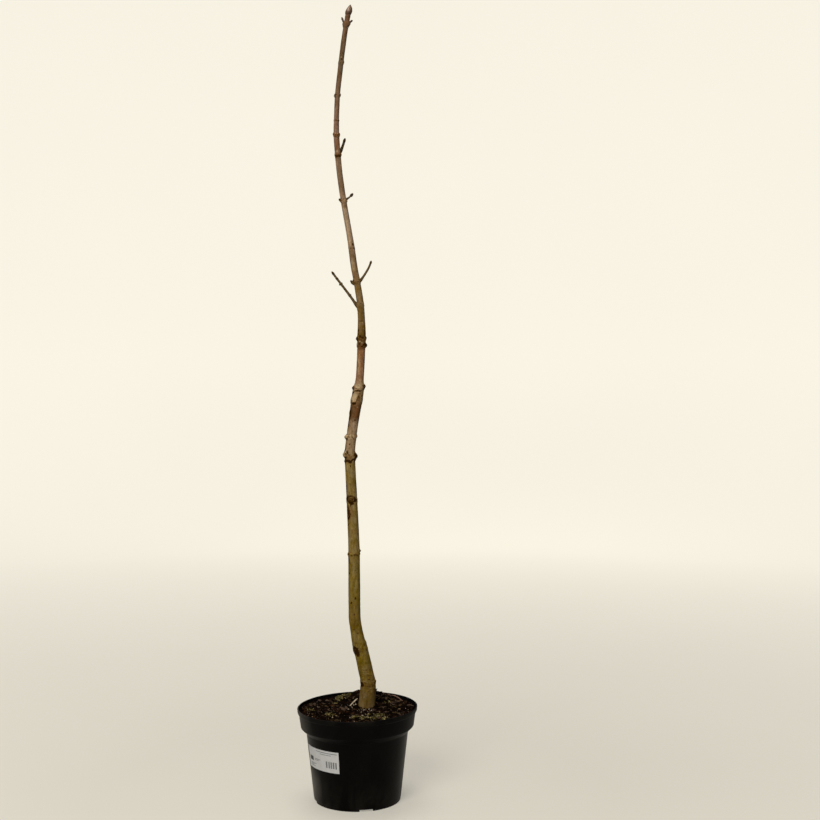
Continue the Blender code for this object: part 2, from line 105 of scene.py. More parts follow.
# Growth rings: (height, swell, half length, azimuth of the leaf pair, dip, how dark).
GROWTH_RINGS = metres((0, 1, 2, 4), [
    (263, 0.6, 6, 0, 1.5, 0.3), (346, 0.7, 7, 0, 6, 0.45), (560.5, 1, 4.5, 10, 2, 0.26),
    (683, 0.6, 9, 270, 2, 0.3), (781, 2.1, 7.5, 0, 5, 0.45), (823.5, 1, 6.4, 20, 2, 0.12),
    (905, 0.8, 10, 225, 3, 0.1), (933, 2.2, 6, 0, 3, 0.3), (1027, 1.3, 6.2, 0, 3, 0.55),
    (1043, 1, 6, 180, 2.4, 0.5), (1118, 0.6, 9, 180, 3, 0.25), (1169, 0.9, 7, 0, 2, 0.4),
    (1244, 0.4, 3, 70, 0.5, 0.65), (1348, 1, 6, 0, 2, 0.3), (1447.5, 1, 6.4, 10, 1.5, 0.82),
    (1493, 1.6, 6.2, 0, 2, 0.44), (1524, 0.4, 3, 60, 0.5, 0.6), (1579, 1.4, 5.6, 175, 1.6, 0.3),
    (1652, 0.8, 5.5, 330, 2, 0.05), (1734, 1.7, 8, 10, 1.5, 0.35), (1750, 0.4, 2.2, 0, 0, 0.5),
])

# Knobs: (height, azimuth, rise, half length, half width in degrees) of bud seats and old scars.
KNOBS = metres((0, 2, 3), [
    (265, 0, 1.3, 4, 40), (336, 190, 2.2, 11, 48), (356, 350, 1.4, 7, 50), (566.8, 355, 3, 4.2, 34),
    (557, 200, 1, 8, 40), (682, 268, 1.4, 11, 60), (683, 88, 1.4, 11, 60), (785, 182, 2.6, 12, 62),
    (769, 188, 1.8, 5, 45), (779, 352, 3.4, 13, 58), (823.5, 190, 3.8, 7.8, 60), (824, 358, 0.6, 4.5, 40),
    (878, 192, 0.8, 6, 40), (908, 205, 1.2, 12, 60), (938, 356, 3, 5.5, 42), (935, 178, 0.6, 6, 45),
    (1028.5, 350, 2.6, 6.8, 62), (1032, 186, 1, 4, 40), (1043, 188, 2.4, 6.6, 60),
    (1045, 356, 0.9, 4.4, 44), (1114, 180, 1.6, 11, 60), (1170, 180, 1.3, 7, 60), (1171, 0, 1.3, 7, 60),
    (1347, 180, 1, 6, 60), (1348, 0, 1.2, 6, 60), (1451, 0, 1.4, 7.5, 60), (1494, 180, 0.8, 3.5, 46),
    (1494, 0, 0.7, 3.5, 46), (1577, 185, 0.8, 6, 50), (1580, 0, 0.5, 4.5, 50), (1650, 335, 0.9, 5.5, 50),
    (1735, 180, 1.2, 7, 60), (1735, 0, 1.2, 7, 60),
])

# Shoots, with their bark on: name, height and azimuth of the root, rises at root, middle and tip, length,
# radius at root and neck, radius and length of the end bud.
SHOOTS = metres((1, 4, 5, 6, 7, 8), [
    ("twig_low_left", 1118.5, 180, (56, 52, 54), 91.5, 3.1, 2.5, 2.9, 9),
    ("twig_mid_right", 1172.7, 0, (53, 59, 75), 50, 2.7, 2.3, 2.6, 7),
    ("twig_high_right", 1352, 0, (26, 42, 55), 19.5, 2.1, 1.8, 3.5, 9.4),
    ("twig_top_right", 1456.5, 0, (64, 72, 74), 30.6, 3.1, 2.7, 3.1, 9),
    ("stub_mid_left", 1168, 180, (30, 42, 52), 6.6, 3.8, 2.6, 2.4, 4.2),
    ("stub_high_left", 1350.7, 180, (35, 42, 45), 3.4, 2.8, 2.2, 2.1, 2.2),
    ("side_bud_left", 1739.5, 180, (60, 70, 76), 11.2, 2, 1.8, 2.4, 8),
    ("side_bud_right", 1738.8, 0, (30, 40, 46), 7.4, 2, 1.8, 2.3, 5.8),
])
# Rings of the twigs: (share of the length, swell, half length). Only those of the long one swell, and it
# has old bud seats: (share of the length, azimuth, rise).
LONG_TWIG = "twig_low_left"
TWIG_RINGS = ((0.27, 0.0004, 0.003), (0.62, 0.0008, 0.004), (0.78, 0.0005, 0.003))
LONG_TWIG_SEATS = ((0.27, 90, 0.0008), (0.62, 270, 0.0019), (0.62, 90, 0.0009), (0.79, 0, 0.0008))
BUD_LENGTH = 0.0212
BUD_DRIFT = (0.0052, -0.0006)
BUD_OUTLINE = metres((1,), [
    (0, 6.0), (0.12, 6.8), (0.36, 7.5), (0.58, 6.9), (0.78, 4.8), (0.92, 2.6), (1, 0.9),
])
BUD_SQUARING = 0.035
BUD_WIDTH = 0.0070
BUD_TURN = 8
LABEL_AZIMUTHS = (197.0, 250.5)
LABEL_LEVELS = (0.0868, 0.1357)
CHIP_ENDS = ((-0.0184, 0.0205, 0.2056), (-0.0018, 0.0598, 0.2142))

# Fineness of the dressed surfaces.
STEM_SIDES = 88
STEM_STEPS = (0.0005, 0.0021)
NODE_REACH = 0.0050
STEM_BURIED = 0.1985
SHOOT_SIDES = 20
SHOOT_STEP = 0.00042
SHOOT_BURIED = 0.0040
BUD_SIDES = 72
BUD_ROWS = 96
POT_SIDES = 240
POT_STEP = 0.0045
SOIL_SIDES = 220
SOIL_ROWS = 84

# Relief of the bark: the fine ridges of the growth rings, and the ribs at the stem's foot.
RIDGE_WAVE = 0.0022
RIDGE_RISE = 0.00022
ROOT_FLARE = 0.034

# Leaf scars: (height, azimuth, half width, half height, depth).
LEAF_SCARS = metres((0, 2, 3, 4), [
    (256, 178, 7, 3, 0.3), (356, 330, 8, 3.2, 0.3), (556, 200, 6.2, 3.5, 0.4), (559, 345, 5.8, 3, 0.4),
    (683, 88, 9.2, 9.8, 0.7), (779, 176, 7.2, 6.2, 0.6), (776, 342, 7.2, 6.2, 0.6),
    (819, 182, 5.2, 3.4, 0.4), (819, 2, 5.2, 3.4, 0.4), (929, 178, 5, 4, 0.4), (930, 352, 5.4, 4.2, 0.5),
    (1021.5, 182, 4.8, 3, 0.4), (1022, 0, 4.8, 3, 0.4), (1111, 182, 4.5, 3.8, 0.3),
    (1112, 2, 4.5, 3.8, 0.3), (1164, 180, 4.3, 3.6, 0.3), (1165, 0, 4.3, 3.6, 0.3),
    (1241, 80, 3.8, 2.8, 0.2), (1241, 262, 3.8, 2.8, 0.2), (1343, 180, 4.2, 3.6, 0.3),
    (1344, 0, 4.2, 3.6, 0.3), (1444.5, 0, 4.2, 3.6, 0.3), (1444, 180, 4, 3.4, 0.3),
    (1489, 90, 3.6, 2.8, 0.2), (1489, 270, 3.6, 2.8, 0.2), (1574, 182, 3.8, 3.2, 0.3),
    (1574, 2, 3.8, 3.2, 0.3), (1648, 90, 3.6, 3.2, 0.3), (1648, 282, 3.6, 3.2, 0.3),
    (1731, 180, 4, 3.6, 0.3), (1731, 0, 4, 3.6, 0.3),
])

# Marks on the bark, by kind: (height, azimuth, half height, half width, strength, depth). A few long
# streaks are painted shade on the right edge and painted highlight in front.
MARKS = {
    "dark": metres((0, 2, 3, 5), [
        (1657.4, 284, 2.6, 2.4, 0.75, 0.3), (1578, 228, 5, 4, 0.55, 0.2), (1579, 320, 4, 3, 0.4, 0),
        (1491.8, 206, 5, 3.2, 0.55, 0), (1492.2, 334, 5.2, 3.2, 0.6, 0), (1488, 262, 1.6, 4.6, 0.6, 0.2),
        # The long dark streak at 1275 mm on the right edge is painted shade.
        (1350, 204, 5, 3, 0.7, 0), (1337, 266, 8, 8, 0.35, 0), (1275, 343, 80, 2.4, 0.52, 0),
        (1251.7, 303, 3.2, 2.6, 0.8, 0.3), (1169, 196, 7, 6, 0.9, 0.3), (1082, 262, 1.8, 8, 0.6, 0.2),
        (1056, 206, 11, 4.5, 0.8, 0), (1054, 332, 11, 5, 0.8, 0), (1048, 250, 4, 4, 0.8, 0.2),
        (1045, 282, 3.4, 4.6, 0.9, 0.2), (1042.5, 206, 5, 5.6, 1, 0), (1031, 244, 2.2, 4.4, 0.8, 0.2),
        # The long dark streak at 985 mm on the right edge is painted shade.
        (1029, 328, 6.2, 6.6, 1, 0), (1026.2, 286, 2.4, 4, 0.8, 0.2), (985, 338, 30, 3.4, 0.58, 0),
        (934.9, 338, 5.6, 4.8, 1, 0), (932, 203, 5.8, 5, 0.85, 0), (926.8, 266, 2.4, 9.6, 0.7, 0.3),
        (921.5, 214, 4.6, 5, 0.9, 0), (914, 290, 13, 4, 0.5, 0), (918, 246, 2.2, 2.4, 0.5, 0),
        (898.5, 244, 3.6, 6, 1, 0.2), (890, 262, 4, 5, 0.45, 0), (876, 216, 14, 4.8, 0.85, 0),
        (866, 218, 4.4, 3.4, 0.9, 0.2), (861, 284, 2.8, 2.4, 0.75, 0.2), (869, 258, 2.4, 2.6, 0.5, 0.2),
        (852, 198, 22, 4.8, 0.68, 0), (799, 198, 11, 5, 0.75, 0), (823.5, 282, 1.8, 3, 0.45, 0.2),
        (824, 238, 1.8, 3, 0.45, 0.2), (818, 208, 2.6, 5, 0.8, 0.2), (829, 206, 2.2, 4, 0.6, 0),
        (790.5, 236, 3.4, 2.6, 0.75, 0.2), (785, 222, 2, 4, 0.6, 0.2), (783, 262, 1.8, 3.6, 0.5, 0.2),
        (775.7, 204, 3.6, 7, 1, 0.4), (769, 202, 8, 4.4, 1, 0), (778, 334, 11, 6.8, 0.95, 0),
        (712, 198, 16, 5.2, 0.75, 0), (683.5, 263, 8.4, 10.4, 0.6, 0), (691.5, 262, 2.4, 4, 0.8, 0.4),
        (685, 216, 4.8, 5, 1, 0.4), (682.2, 314, 4.8, 5, 1, 0.4), (674.5, 266, 3, 5.6, 0.9, 0.4),
        (652, 218, 23, 7.2, 0.78, 0), (565, 350, 3.6, 4, 0.9, 0), (559, 284, 2.4, 6, 0.65, 0.3),
        (557.5, 246, 2.2, 3.4, 0.6, 0.2), (561, 212, 3, 3.4, 0.7, 0.2), (546.4, 208, 7, 3.6, 0.9, 0.3),
        (449.8, 241, 3, 3, 1, 0.4), (422.5, 271, 2.6, 2.4, 0.8, 0.3), (388, 250, 3, 4, 0.5, 0.2),
        (380, 284, 3.4, 3.6, 0.5, 0.2), (338.5, 222, 12, 12.5, 1, 0.9), (331, 234, 7, 7, 0.75, 0.4),
        (340, 246, 2.6, 7, 0.7, 0.4), (344.5, 280, 2, 6, 0.45, 0.3), (356, 250, 2, 8, 0.4, 0.2),
        (259, 216, 6.8, 10, 1, 0.4), (262.9, 342, 4.4, 5.6, 0.8, 0), (259, 262, 1.8, 14, 0.3, 0.3),
        (683, 88, 9, 9, 0.6, 0.3), (774, 96, 4, 10, 0.7, 0.3), (929, 92, 3.6, 8, 0.7, 0.3),
        (342, 70, 5, 9, 0.8, 0.4), (560, 110, 2.8, 9, 0.7, 0.3),
    ]),
    "pale": metres((0, 2, 3, 5), [
        (1662, 268, 2, 2.8, 0.5, 0), (1502.2, 256, 2, 3.2, 0.8, 0), (1495.5, 250, 1.4, 1.6, 0.7, 0),
        # The long pale streak at 1295 mm in front is a painted highlight.
        (1494.8, 288, 1.4, 1.6, 0.6, 0), (1456.2, 262, 2.2, 3.6, 0.8, 0), (1295, 256, 70, 2.2, 0.5, 0),
        (1206, 258, 19, 5, 0.45, 0), (1078, 292, 2.8, 2.2, 0.4, 0), (1066, 300, 2.4, 2, 0.35, 0),
        (1037.6, 250, 1.3, 4.6, 0.95, -0.2), (1035.2, 276, 1.3, 4, 0.85, -0.2),
        # The long pale streak at 986 mm, left of the front, is a painted highlight.
        (1031, 206, 2.6, 3, 0.6, 0), (986, 246, 29, 2.4, 0.45, 0), (937.2, 262, 6, 8, 0.8, 0),
        (912.5, 241, 12, 7, 0.95, 0.4), (825, 210, 5, 5, 0.7, 0), (827, 258, 2.4, 2.4, 0.9, -0.2),
        (821, 272, 2.2, 2.6, 0.9, -0.2), (826, 290, 3, 2, 0.8, -0.2), (819, 246, 2, 2.4, 0.8, -0.2),
        (787, 206, 8, 6, 0.5, 0), (789, 276, 8, 6, 0.4, 0), (685, 258, 2.2, 2.6, 0.45, -0.3),
        (664, 292, 7, 4.6, 0.35, 0), (342.5, 256, 2.6, 2.8, 0.6, 0), (910, 70, 8, 5, 0.5, 0.2),
    ]),
    "ruddy": metres((0, 2, 3, 5), [
        (1738, 268, 10, 8, 0.35, 0), (1470, 280, 14, 6, 0.45, 0), (1448, 262, 6, 7.6, 0.75, 0),
        (1492.5, 262, 5.6, 7.6, 0.75, 0), (1344, 222, 9, 4.6, 0.5, 0), (1185, 250, 13, 7, 0.4, 0),
        (1126.5, 236, 6, 4, 0.35, 0), (1042, 262, 3.6, 6, 0.5, 0), (1021.5, 258, 5.6, 8, 0.8, 0),
        (985, 288, 30, 3.4, 0.6, 0), (906, 282, 13, 5, 0.5, 0), (914, 232, 5, 1.6, 0.5, 0),
        (882, 290, 15, 5.6, 0.7, 0), (776, 262, 10, 7, 0.5, 0), (654, 240, 21, 9, 0.5, 0),
        (212, 250, 7, 11, 0.2, 0),
    ]),
}

# Marks with shapes of their own: (height, azimuth) of the horseshoe knot and the healed cut, and the
# heights of the old seat near the foot and of the line under the big ring.
HORSESHOE = (0.6840, 264)
HEALED_CUT = (0.9125, 240)
OLD_SEAT = 0.3376
BIG_RING_SAG = 0.7678

# Wrinkled stretches of the stem: (height, half length, how strong).
WRINKLES = metres((0, 1), [(266, 58, 1), (350, 34, 0.5), (700, 60, 0.4)])

# Tones of the bark, and the height at which each one lies.
TONES = {
    "foot": (0.152, 0.098, 0.030),
    "low_olive": (0.166, 0.101, 0.013),
    "olive": (0.196, 0.132, 0.020),
    "light_olive": (0.214, 0.144, 0.040),
    "taupe": (0.285, 0.186, 0.098),
    "red_brown": (0.136, 0.065, 0.023),
    "tan": (0.300, 0.195, 0.092),
    "smooth_red": (0.288, 0.150, 0.073),
    "dark_olive": (0.138, 0.074, 0.012),
    "mid_olive": (0.186, 0.112, 0.038),
    "orange_brown": (0.200, 0.118, 0.042),
    "pale_brown": (0.320, 0.213, 0.126),
    "brown": (0.216, 0.134, 0.072),
    "rosy_brown": (0.212, 0.116, 0.074),
    "ruddy_brown": (0.200, 0.108, 0.062),
    "young_brown": (0.170, 0.096, 0.052),
    "top_brown": (0.133, 0.081, 0.037),
    "neck_brown": (0.155, 0.084, 0.050),
}
ZONES = metres((0,), [
    (236, "foot"), (255, "low_olive"), (335, "olive"), (405, "low_olive"), (480, "olive"),
    (600, "light_olive"), (760, "light_olive"), (790, "taupe"), (856, "taupe"), (863, "red_brown"),
    (898, "red_brown"), (910, "tan"), (938, "tan"), (952, "smooth_red"), (1018, "smooth_red"),
    (1028, "red_brown"), (1046, "dark_olive"), (1068, "dark_olive"), (1080, "mid_olive"),
    (1150, "mid_olive"), (1190, "orange_brown"), (1235, "brown"), (1262, "pale_brown"),
    (1330, "pale_brown"), (1375, "brown"), (1440, "brown"), (1456, "ruddy_brown"), (1486, "ruddy_brown"),
    (1510, "rosy_brown"), (1575, "young_brown"), (1665, "top_brown"), (1752, "neck_brown"),
])
DARK_BARK = (0.030, 0.0110, 0.0006)
WARM_BARK = (0.112, 0.052, 0.009)
PALE_BARK = (0.465, 0.348, 0.195)
RUDDY_BARK = (0.185, 0.072, 0.023)


# Numbers.


def bell(t):
    """1 at the middle, falling smoothly to 0 at t = -1 and t = 1."""
    return np.clip(1 - np.square(t), 0, None) ** 2


def step(t):
    """0 below t = 0 and 1 above t = 1, with a smooth rise between them."""
    t = np.clip(t, 0, 1)
    return t * t * (3 - 2 * t)


def wrapped(angle):
    return (angle + math.pi) % TAU - math.pi


def turned_from(azimuth, degrees):
    """How far azimuths in radians lie from a direction in degrees."""
    return wrapped(azimuth - math.radians(degrees))


def smooth(table, at, column=1):
    """A table's column read at places in its first column, on a curve that never overshoots."""
    knots = np.array([row[0] for row in table])
    values = np.array([row[column] for row in table])
    at = np.clip(at, knots[0], knots[-1])
    slopes = np.diff(values) / np.diff(knots)
    place = np.arange(len(knots))
    before = slopes[np.maximum(place - 1, 0)]
    after = slopes[np.minimum(place, len(slopes) - 1)]
    agree = before * after > 0
    tangents = np.where(agree, 2 * before * after / np.where(agree, before + after, 1), 0)
    i = np.clip(np.searchsorted(knots, at, side="right") - 1, 0, len(knots) - 2)
    span = knots[i + 1] - knots[i]
    t = (at - knots[i]) / span
    return (
        (1 + 2 * t) * (1 - t) ** 2 * values[i]
        + t * (1 - t) ** 2 * span * tangents[i]
        + t * t * (3 - 2 * t) * values[i + 1]
        + t * t * (t - 1) * span * tangents[i + 1]
    )


def grain(points, wave, seed=0):
    """Smooth noise from -1 to 1 at each point, with about one bump in each wave."""
    at = np.asarray(points) / np.asarray(wave)
    cell = np.floor(at).astype(np.int64)
    part = at - cell
    part = part * part * (3 - 2 * part)
    total = 0.0
    for corner in np.ndindex(2, 2, 2):
        n = cell + np.array(corner)
        n = (n[..., 0] * 73856093) ^ (n[..., 1] * 19349663) ^ (n[..., 2] * 83492791) ^ (seed * 7919)
        n = n & 0xFFFFFFFF
        n = ((n ^ (n >> 13)) * 1274126177) & 0xFFFFFFFF
        value = ((n ^ (n >> 16)) & 0xFFFF) / 32767.5 - 1
        weight = np.where(np.array(corner, bool), part, 1 - part)
        total = total + weight[..., 0] * weight[..., 1] * weight[..., 2] * value
    return total


def layered(points, wave, seed=0, octaves=3):
    """Noise with finer and fainter copies of itself on top."""
    total, weight = 0.0, 1.0
    for i in range(octaves):
        total = total + weight * grain(points, np.asarray(wave) / 2**i, seed + i)
        weight /= 2
    return total / 1.75


def around(count):
    return TAU * np.arange(count) / count


def stacked(*columns):
    return np.stack(np.broadcast_arrays(*columns), axis=-1)


def standing(radius, azimuth, z, x=0, y=0):
    """Points at a radius, an azimuth and a height, round a middle at x and y."""
    return stacked(x + radius * np.cos(azimuth), y + radius * np.sin(azimuth), z)


# Meshes.


def placed(name, data):
    """A new object in the scene."""
    made = bpy.data.objects.new(name, data)
    bpy.context.scene.collection.objects.link(made)
    return made


def make_piece(name, points, faces, looks, slot, tones=None, fields=None, sharp=None):
    """A mesh object with its faces out. It rides on the body when it is given a slot."""
    mesh = bpy.data.meshes.new(name)
    mesh.from_pydata(np.asarray(points).reshape(-1, 3).tolist(), [], faces)
    for look in looks:
        mesh.materials.append(look)
    if tones is not None:
        mesh.polygons.foreach_set("material_index", np.asarray(tones, np.int32))
    for key, values in (fields or {}).items():
        layer = mesh.attributes.new(key, "FLOAT", "POINT")
        layer.data.foreach_set("value", np.asarray(values, np.float32).reshape(-1))
    bm = bmesh.new()
    bm.from_mesh(mesh)
    bmesh.ops.recalc_face_normals(bm, faces=bm.faces)
    bm.to_mesh(mesh)
    bm.free()
    if sharp == 0:
        mesh.shade_flat()
    else:
        mesh.shade_smooth()
    if sharp:
        mesh.set_sharp_from_angle(angle=math.radians(sharp))
    made = placed(name, mesh)
    if slot:
        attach(made, ROOT)
    return made


def rows_of_faces(rows, sides):
    """Quads between rows of points that each go right round."""
    at = np.arange(rows * sides).reshape(rows, sides)
    right = np.roll(at, -1, axis=1)
    return np.stack([at[:-1], right[:-1], right[1:], at[1:]], axis=-1).reshape(-1, 4).tolist()


def fan(row, centre, up):
    """Triangles from a row of points to one centre."""
    pairs = zip(row, np.roll(row, -1)) if up else zip(np.roll(row, -1), row)
    return [[int(a), int(b), centre] for a, b in pairs]


def closed_tube(grid, ends=None):
    """(points, faces) of rows of points that go right round, closed by a fan at each end."""
    rows, sides = grid.shape[:2]
    if ends is None:
        ends = [grid[0].mean(axis=0), grid[-1].mean(axis=0)]
    faces = rows_of_faces(rows, sides)
    faces += fan(np.arange(sides), rows * sides, False)
    faces += fan(np.arange(sides) + (rows - 1) * sides, rows * sides + 1, True)
    return np.concatenate([grid.reshape(-1, 3), ends]), faces


def capped(values, last=0):
    """A field's values on a closed tube, with those of its two end points after them."""
    return np.append(values.reshape(-1), (0, last))


def joined(parts):
    """(points, faces, tones) of many (points, faces, tone) as one."""
    points, faces, tones, total = [], [], [], 0
    for here, sides, tone in parts:
        points.append(here)
        faces += [[total + k for k in side] for side in sides]
        tones += [tone] * len(sides)
        total += len(here)
    return np.concatenate(points), faces, tones


def scatter(name, shapes, places, turns, sizes, tones, looks, slot, sharp=0):
    """Joins many small copies of a few shapes into one piece."""
    parts = []
    for i, place in enumerate(places):
        base, sides = shapes[i % len(shapes)]
        parts.append(((base * sizes[i]) @ turns[i].T + place, sides, tones[i]))
    points, faces, tones = joined(parts)
    make_piece(name, points, faces, looks, slot, tones=tones, sharp=sharp)


def turned(yaw, tilt, spin):
    """Rotation matrices: a spin about X, then a tilt about Y, then a yaw about Z."""
    cy, sy, ct, st = np.cos(yaw), np.sin(yaw), np.cos(tilt), np.sin(tilt)
    cs, ss = np.cos(spin), np.sin(spin)
    rows = (
        (cy * ct, cy * st * ss - sy * cs, cy * st * cs + sy * ss),
        (sy * ct, sy * st * ss + cy * cs, sy * st * cs - cy * ss),
        (-st, ct * ss, ct * cs),
    )
    return np.stack([np.stack(row, axis=-1) for row in rows], axis=-2)


# Materials.


class Look:
    """A material whose nodes are added a line at a time."""

    def __init__(self, name, colour, roughness, specular):
        self.material = bpy.data.materials.new(name)
        self.material.use_nodes = True
        self.tree = self.material.node_tree
        self.shader = self.tree.nodes["Principled BSDF"]
        self.put(self.shader, {"Base Color": colour, "Roughness": roughness})
        self.put(self.shader, {"Specular IOR Level": specular})
        self.place = self.add("TexCoord").outputs["Object"]

    def put(self, node, inputs):
        """Sets or links a node's named or numbered inputs."""
        for key, value in inputs.items():
            socket = node.inputs[key]
            if isinstance(value, bpy.types.NodeSocket):
                self.tree.links.new(value, socket)
            else:
                socket.default_value = (*value, 1) if socket.type == "RGBA" else value

    def add(self, kind, inputs=None, **settings):
        made = self.tree.nodes.new("ShaderNode" + kind)
        for key, value in settings.items():
            setattr(made, key, value)
        self.put(made, inputs or {})
        return made

    def noise(self, wave, detail=3.0, rough=0.55, upright=1.0, warp=0.0):
        """Noise with about one bump in each wave, drawn out along Z where upright is below 1."""
        place = self.add("Mapping", {"Vector": self.place, "Scale": (1, 1, upright)}).outputs[0]
        inputs = {"Vector": place, "Scale": 1 / wave, "Detail": detail, "Roughness": rough}
        return self.add("TexNoise", {**inputs, "Distortion": warp}).outputs[0]

    def maths(self, operation, a, b, clamp=False):
        return self.add("Math", {0: a, 1: b}, operation=operation, use_clamp=clamp).outputs[0]

    def plus(self, a, b):
        return self.maths("ADD", a, b)

    def times(self, a, b, clamp=False):
        return self.maths("MULTIPLY", a, b, clamp)

    def spread(self, value, low, high, to_low, to_high):
        inputs = {0: value, 1: low, 2: high, 3: to_low, 4: to_high}
        return self.add("MapRange", inputs, clamp=True).outputs[0]

    def vary(self, value, to_low, to_high):
        """Noise, which seldom leaves 0.3 to 0.7, spread over another range."""
        return self.spread(value, 0.3, 0.7, to_low, to_high)

    def mix(self, factor, a, b):
        return self.add("Mix", {0: factor, 6: a, 7: b}, data_type="RGBA").outputs[2]

    def tint(self, colour, mask, low, high, most, tone):
        """A tone laid over the colour where the mask is high."""
        return self.mix(self.spread(mask, low, high, 0.0, most), colour, tone)

    def mottle(self, colour, noise, low, high):
        """The colour darkened and lightened by noise."""
        return self.shade(colour, self.vary(noise, low, high))

    def shade(self, colour, value, saturation=1.0):
        inputs = {"Saturation": saturation, "Value": value, "Color": colour}
        return self.add("HueSaturation", inputs).outputs[0]

    def ramp(self, value, stops):
        made = self.add("ValToRGB", {0: value})
        line = made.color_ramp.elements
        while len(line) < len(stops):
            line.new(0.5)
        for element, (at, colour) in zip(line, stops):
            element.position = at
            element.color = (*colour, 1)
        return made.outputs[0]

    def field(self, name):
        return self.add("Attribute", attribute_name=name).outputs["Fac"]

    def height(self):
        return self.add("SeparateXYZ", {0: self.place}).outputs[2]

    def finish(self, colour, roughness=None, bumps=()):
        """bumps is (height socket, distance, strength) from the coarsest to the finest."""
        inputs = {"Base Color": colour}
        if roughness is not None:
            inputs["Roughness"] = roughness
        for height, distance, strength in bumps:
            bump = {"Height": height, "Distance": distance, "Strength": strength}
            if "Normal" in inputs:
                bump["Normal"] = inputs["Normal"]
            inputs["Normal"] = self.add("Bump", bump).outputs[0]
        self.put(self.shader, inputs)
        return self.material


def bark_look():
    """Smooth young bark: zones of tone up the stem, streaks, pores, and the marks, painted shade and
    painted highlights in its fields.
    """
    look = Look("bark", TONES["olive"], 0.80, 0.025)
    wander = look.vary(look.noise(0.034, 3), -0.006, 0.006)
    level = look.spread(look.plus(look.height(), wander), STEM_FOOT, STEM_TOP, 0, 1)
    span = STEM_TOP - STEM_FOOT
    zone = look.ramp(level, [((at - STEM_FOOT) / span, TONES[name]) for at, name in ZONES])
    streaks = look.noise(0.0052, 5, 0.62, 0.16, 0.3)
    patches = look.noise(0.013, 4, 0.6, 0.55, 0.4)
    blots = look.noise(0.0046, 4, 0.62, 0.7, 0.5)
    fine = look.noise(0.0011, 3, 0.6, 0.6)
    colour = look.shade(zone, look.spread(streaks, 0.30, 0.72, 0.70, 1.32))
    colour = look.shade(colour, look.vary(patches, 0.76, 1.22), look.vary(patches, 1.15, 0.84))
    colour = look.mottle(colour, blots, 0.74, 1.24)
    colour = look.mottle(colour, fine, 0.84, 1.14)
    film = look.noise(0.0060, 5, 0.7, 0.5, 0.6)
    colour = look.tint(colour, film, 0.58, 0.74, 0.24, (0.270, 0.200, 0.062))
    stain = look.noise(0.0070, 4, 0.65, 0.6, 0.8)
    colour = look.tint(colour, stain, 0.60, 0.72, 0.55, (0.050, 0.022, 0.002))
    pores = look.spread(look.noise(0.0019, 2, 0.5, 0.75), 0.645, 0.72, 0.0, 0.70)
    colour = look.mix(pores, colour, DARK_BARK)
    gaps = look.spread(look.noise(0.0030, 5, 0.72, 0.7, 0.6), 0.32, 0.62, 0.85, 0.0)
    for name, tone in (("ruddy", RUDDY_BARK), ("pale", PALE_BARK)):
        amount = look.maths("SUBTRACT", look.times(look.field(name), 1.7), gaps, True)
        colour = look.mix(look.times(amount, look.vary(blots, 0.55, 1.0)), colour, tone)
    dark = look.maths("SUBTRACT", look.times(look.field("dark"), 1.8), gaps, True)
    tone = look.tint(WARM_BARK, dark, 0.25, 1.0, 1.0, DARK_BARK)
    colour = look.mix(look.times(dark, 1.5, True), colour, tone)
    rough = look.vary(patches, 0.60, 0.84)
    bumps = ((streaks, 0.0006, 0.4), (blots, 0.0004, 0.4), (pores, 0.0003, -0.5), (fine, 0.0003, 0.35))
    return look.finish(colour, rough, bumps)


def lenticel_look(name, colour):
    look = Look(name, colour, 0.85, 0.03)
    fine = look.noise(0.0009, 3, 0.6)
    tone = look.mottle(colour, fine, 0.7, 1.25)
    return look.finish(tone, bumps=((fine, 0.0002, 0.4),))


def twig_look(name, colour):
    """Thin dark bark with fine streaks, and dark where its field says so."""
    look = Look(name, colour, 0.7, 0.03)
    streaks = look.noise(0.0016, 4, 0.6, 0.35)
    patches = look.noise(0.006, 3, 0.6)
    tone = look.shade(colour, look.vary(streaks, 0.70, 1.30), look.vary(patches, 1.1, 0.8))
    tone = look.tint(tone, look.noise(0.0008, 2, 0.5), 0.68, 0.76, 0.35, (0.22, 0.15, 0.07))
    tone = look.mix(look.times(look.field("dark"), 0.85, True), tone, (0.016, 0.008, 0.004))
    rough = look.vary(patches, 0.5, 0.72)
    return look.finish(tone, rough, ((streaks, 0.0003, 0.4),))


def bud_look(name, neck, middle, tip):
    """Resinous bud scales, dark at their edges, at the neck and at the very tip."""
    look = Look(name, middle, 0.5, 0.22)
    level = look.field("along")
    tone = look.ramp(level, [(0.0, neck), (0.22, neck), (0.46, middle), (0.80, middle), (1.0, tip)])
    veins = look.noise(0.0011, 4, 0.6, 0.25)
    patches = look.noise(0.0045, 3, 0.6)
    tone = look.mottle(tone, veins, 0.72, 1.26)
    tone = look.tint(tone, patches, 0.56, 0.72, 0.35, (0.36, 0.23, 0.15))
    # The pale field is a painted highlight on the bud's front.
    tone = look.mix(look.times(look.field("pale"), 0.95, True), tone, (0.47, 0.34, 0.26))
    tone = look.mix(look.times(look.field("dark"), 0.9, True), tone, (0.045, 0.018, 0.008))
    rough = look.vary(patches, 0.32, 0.6)
    return look.finish(tone, rough, ((veins, 0.0003, 0.35),))


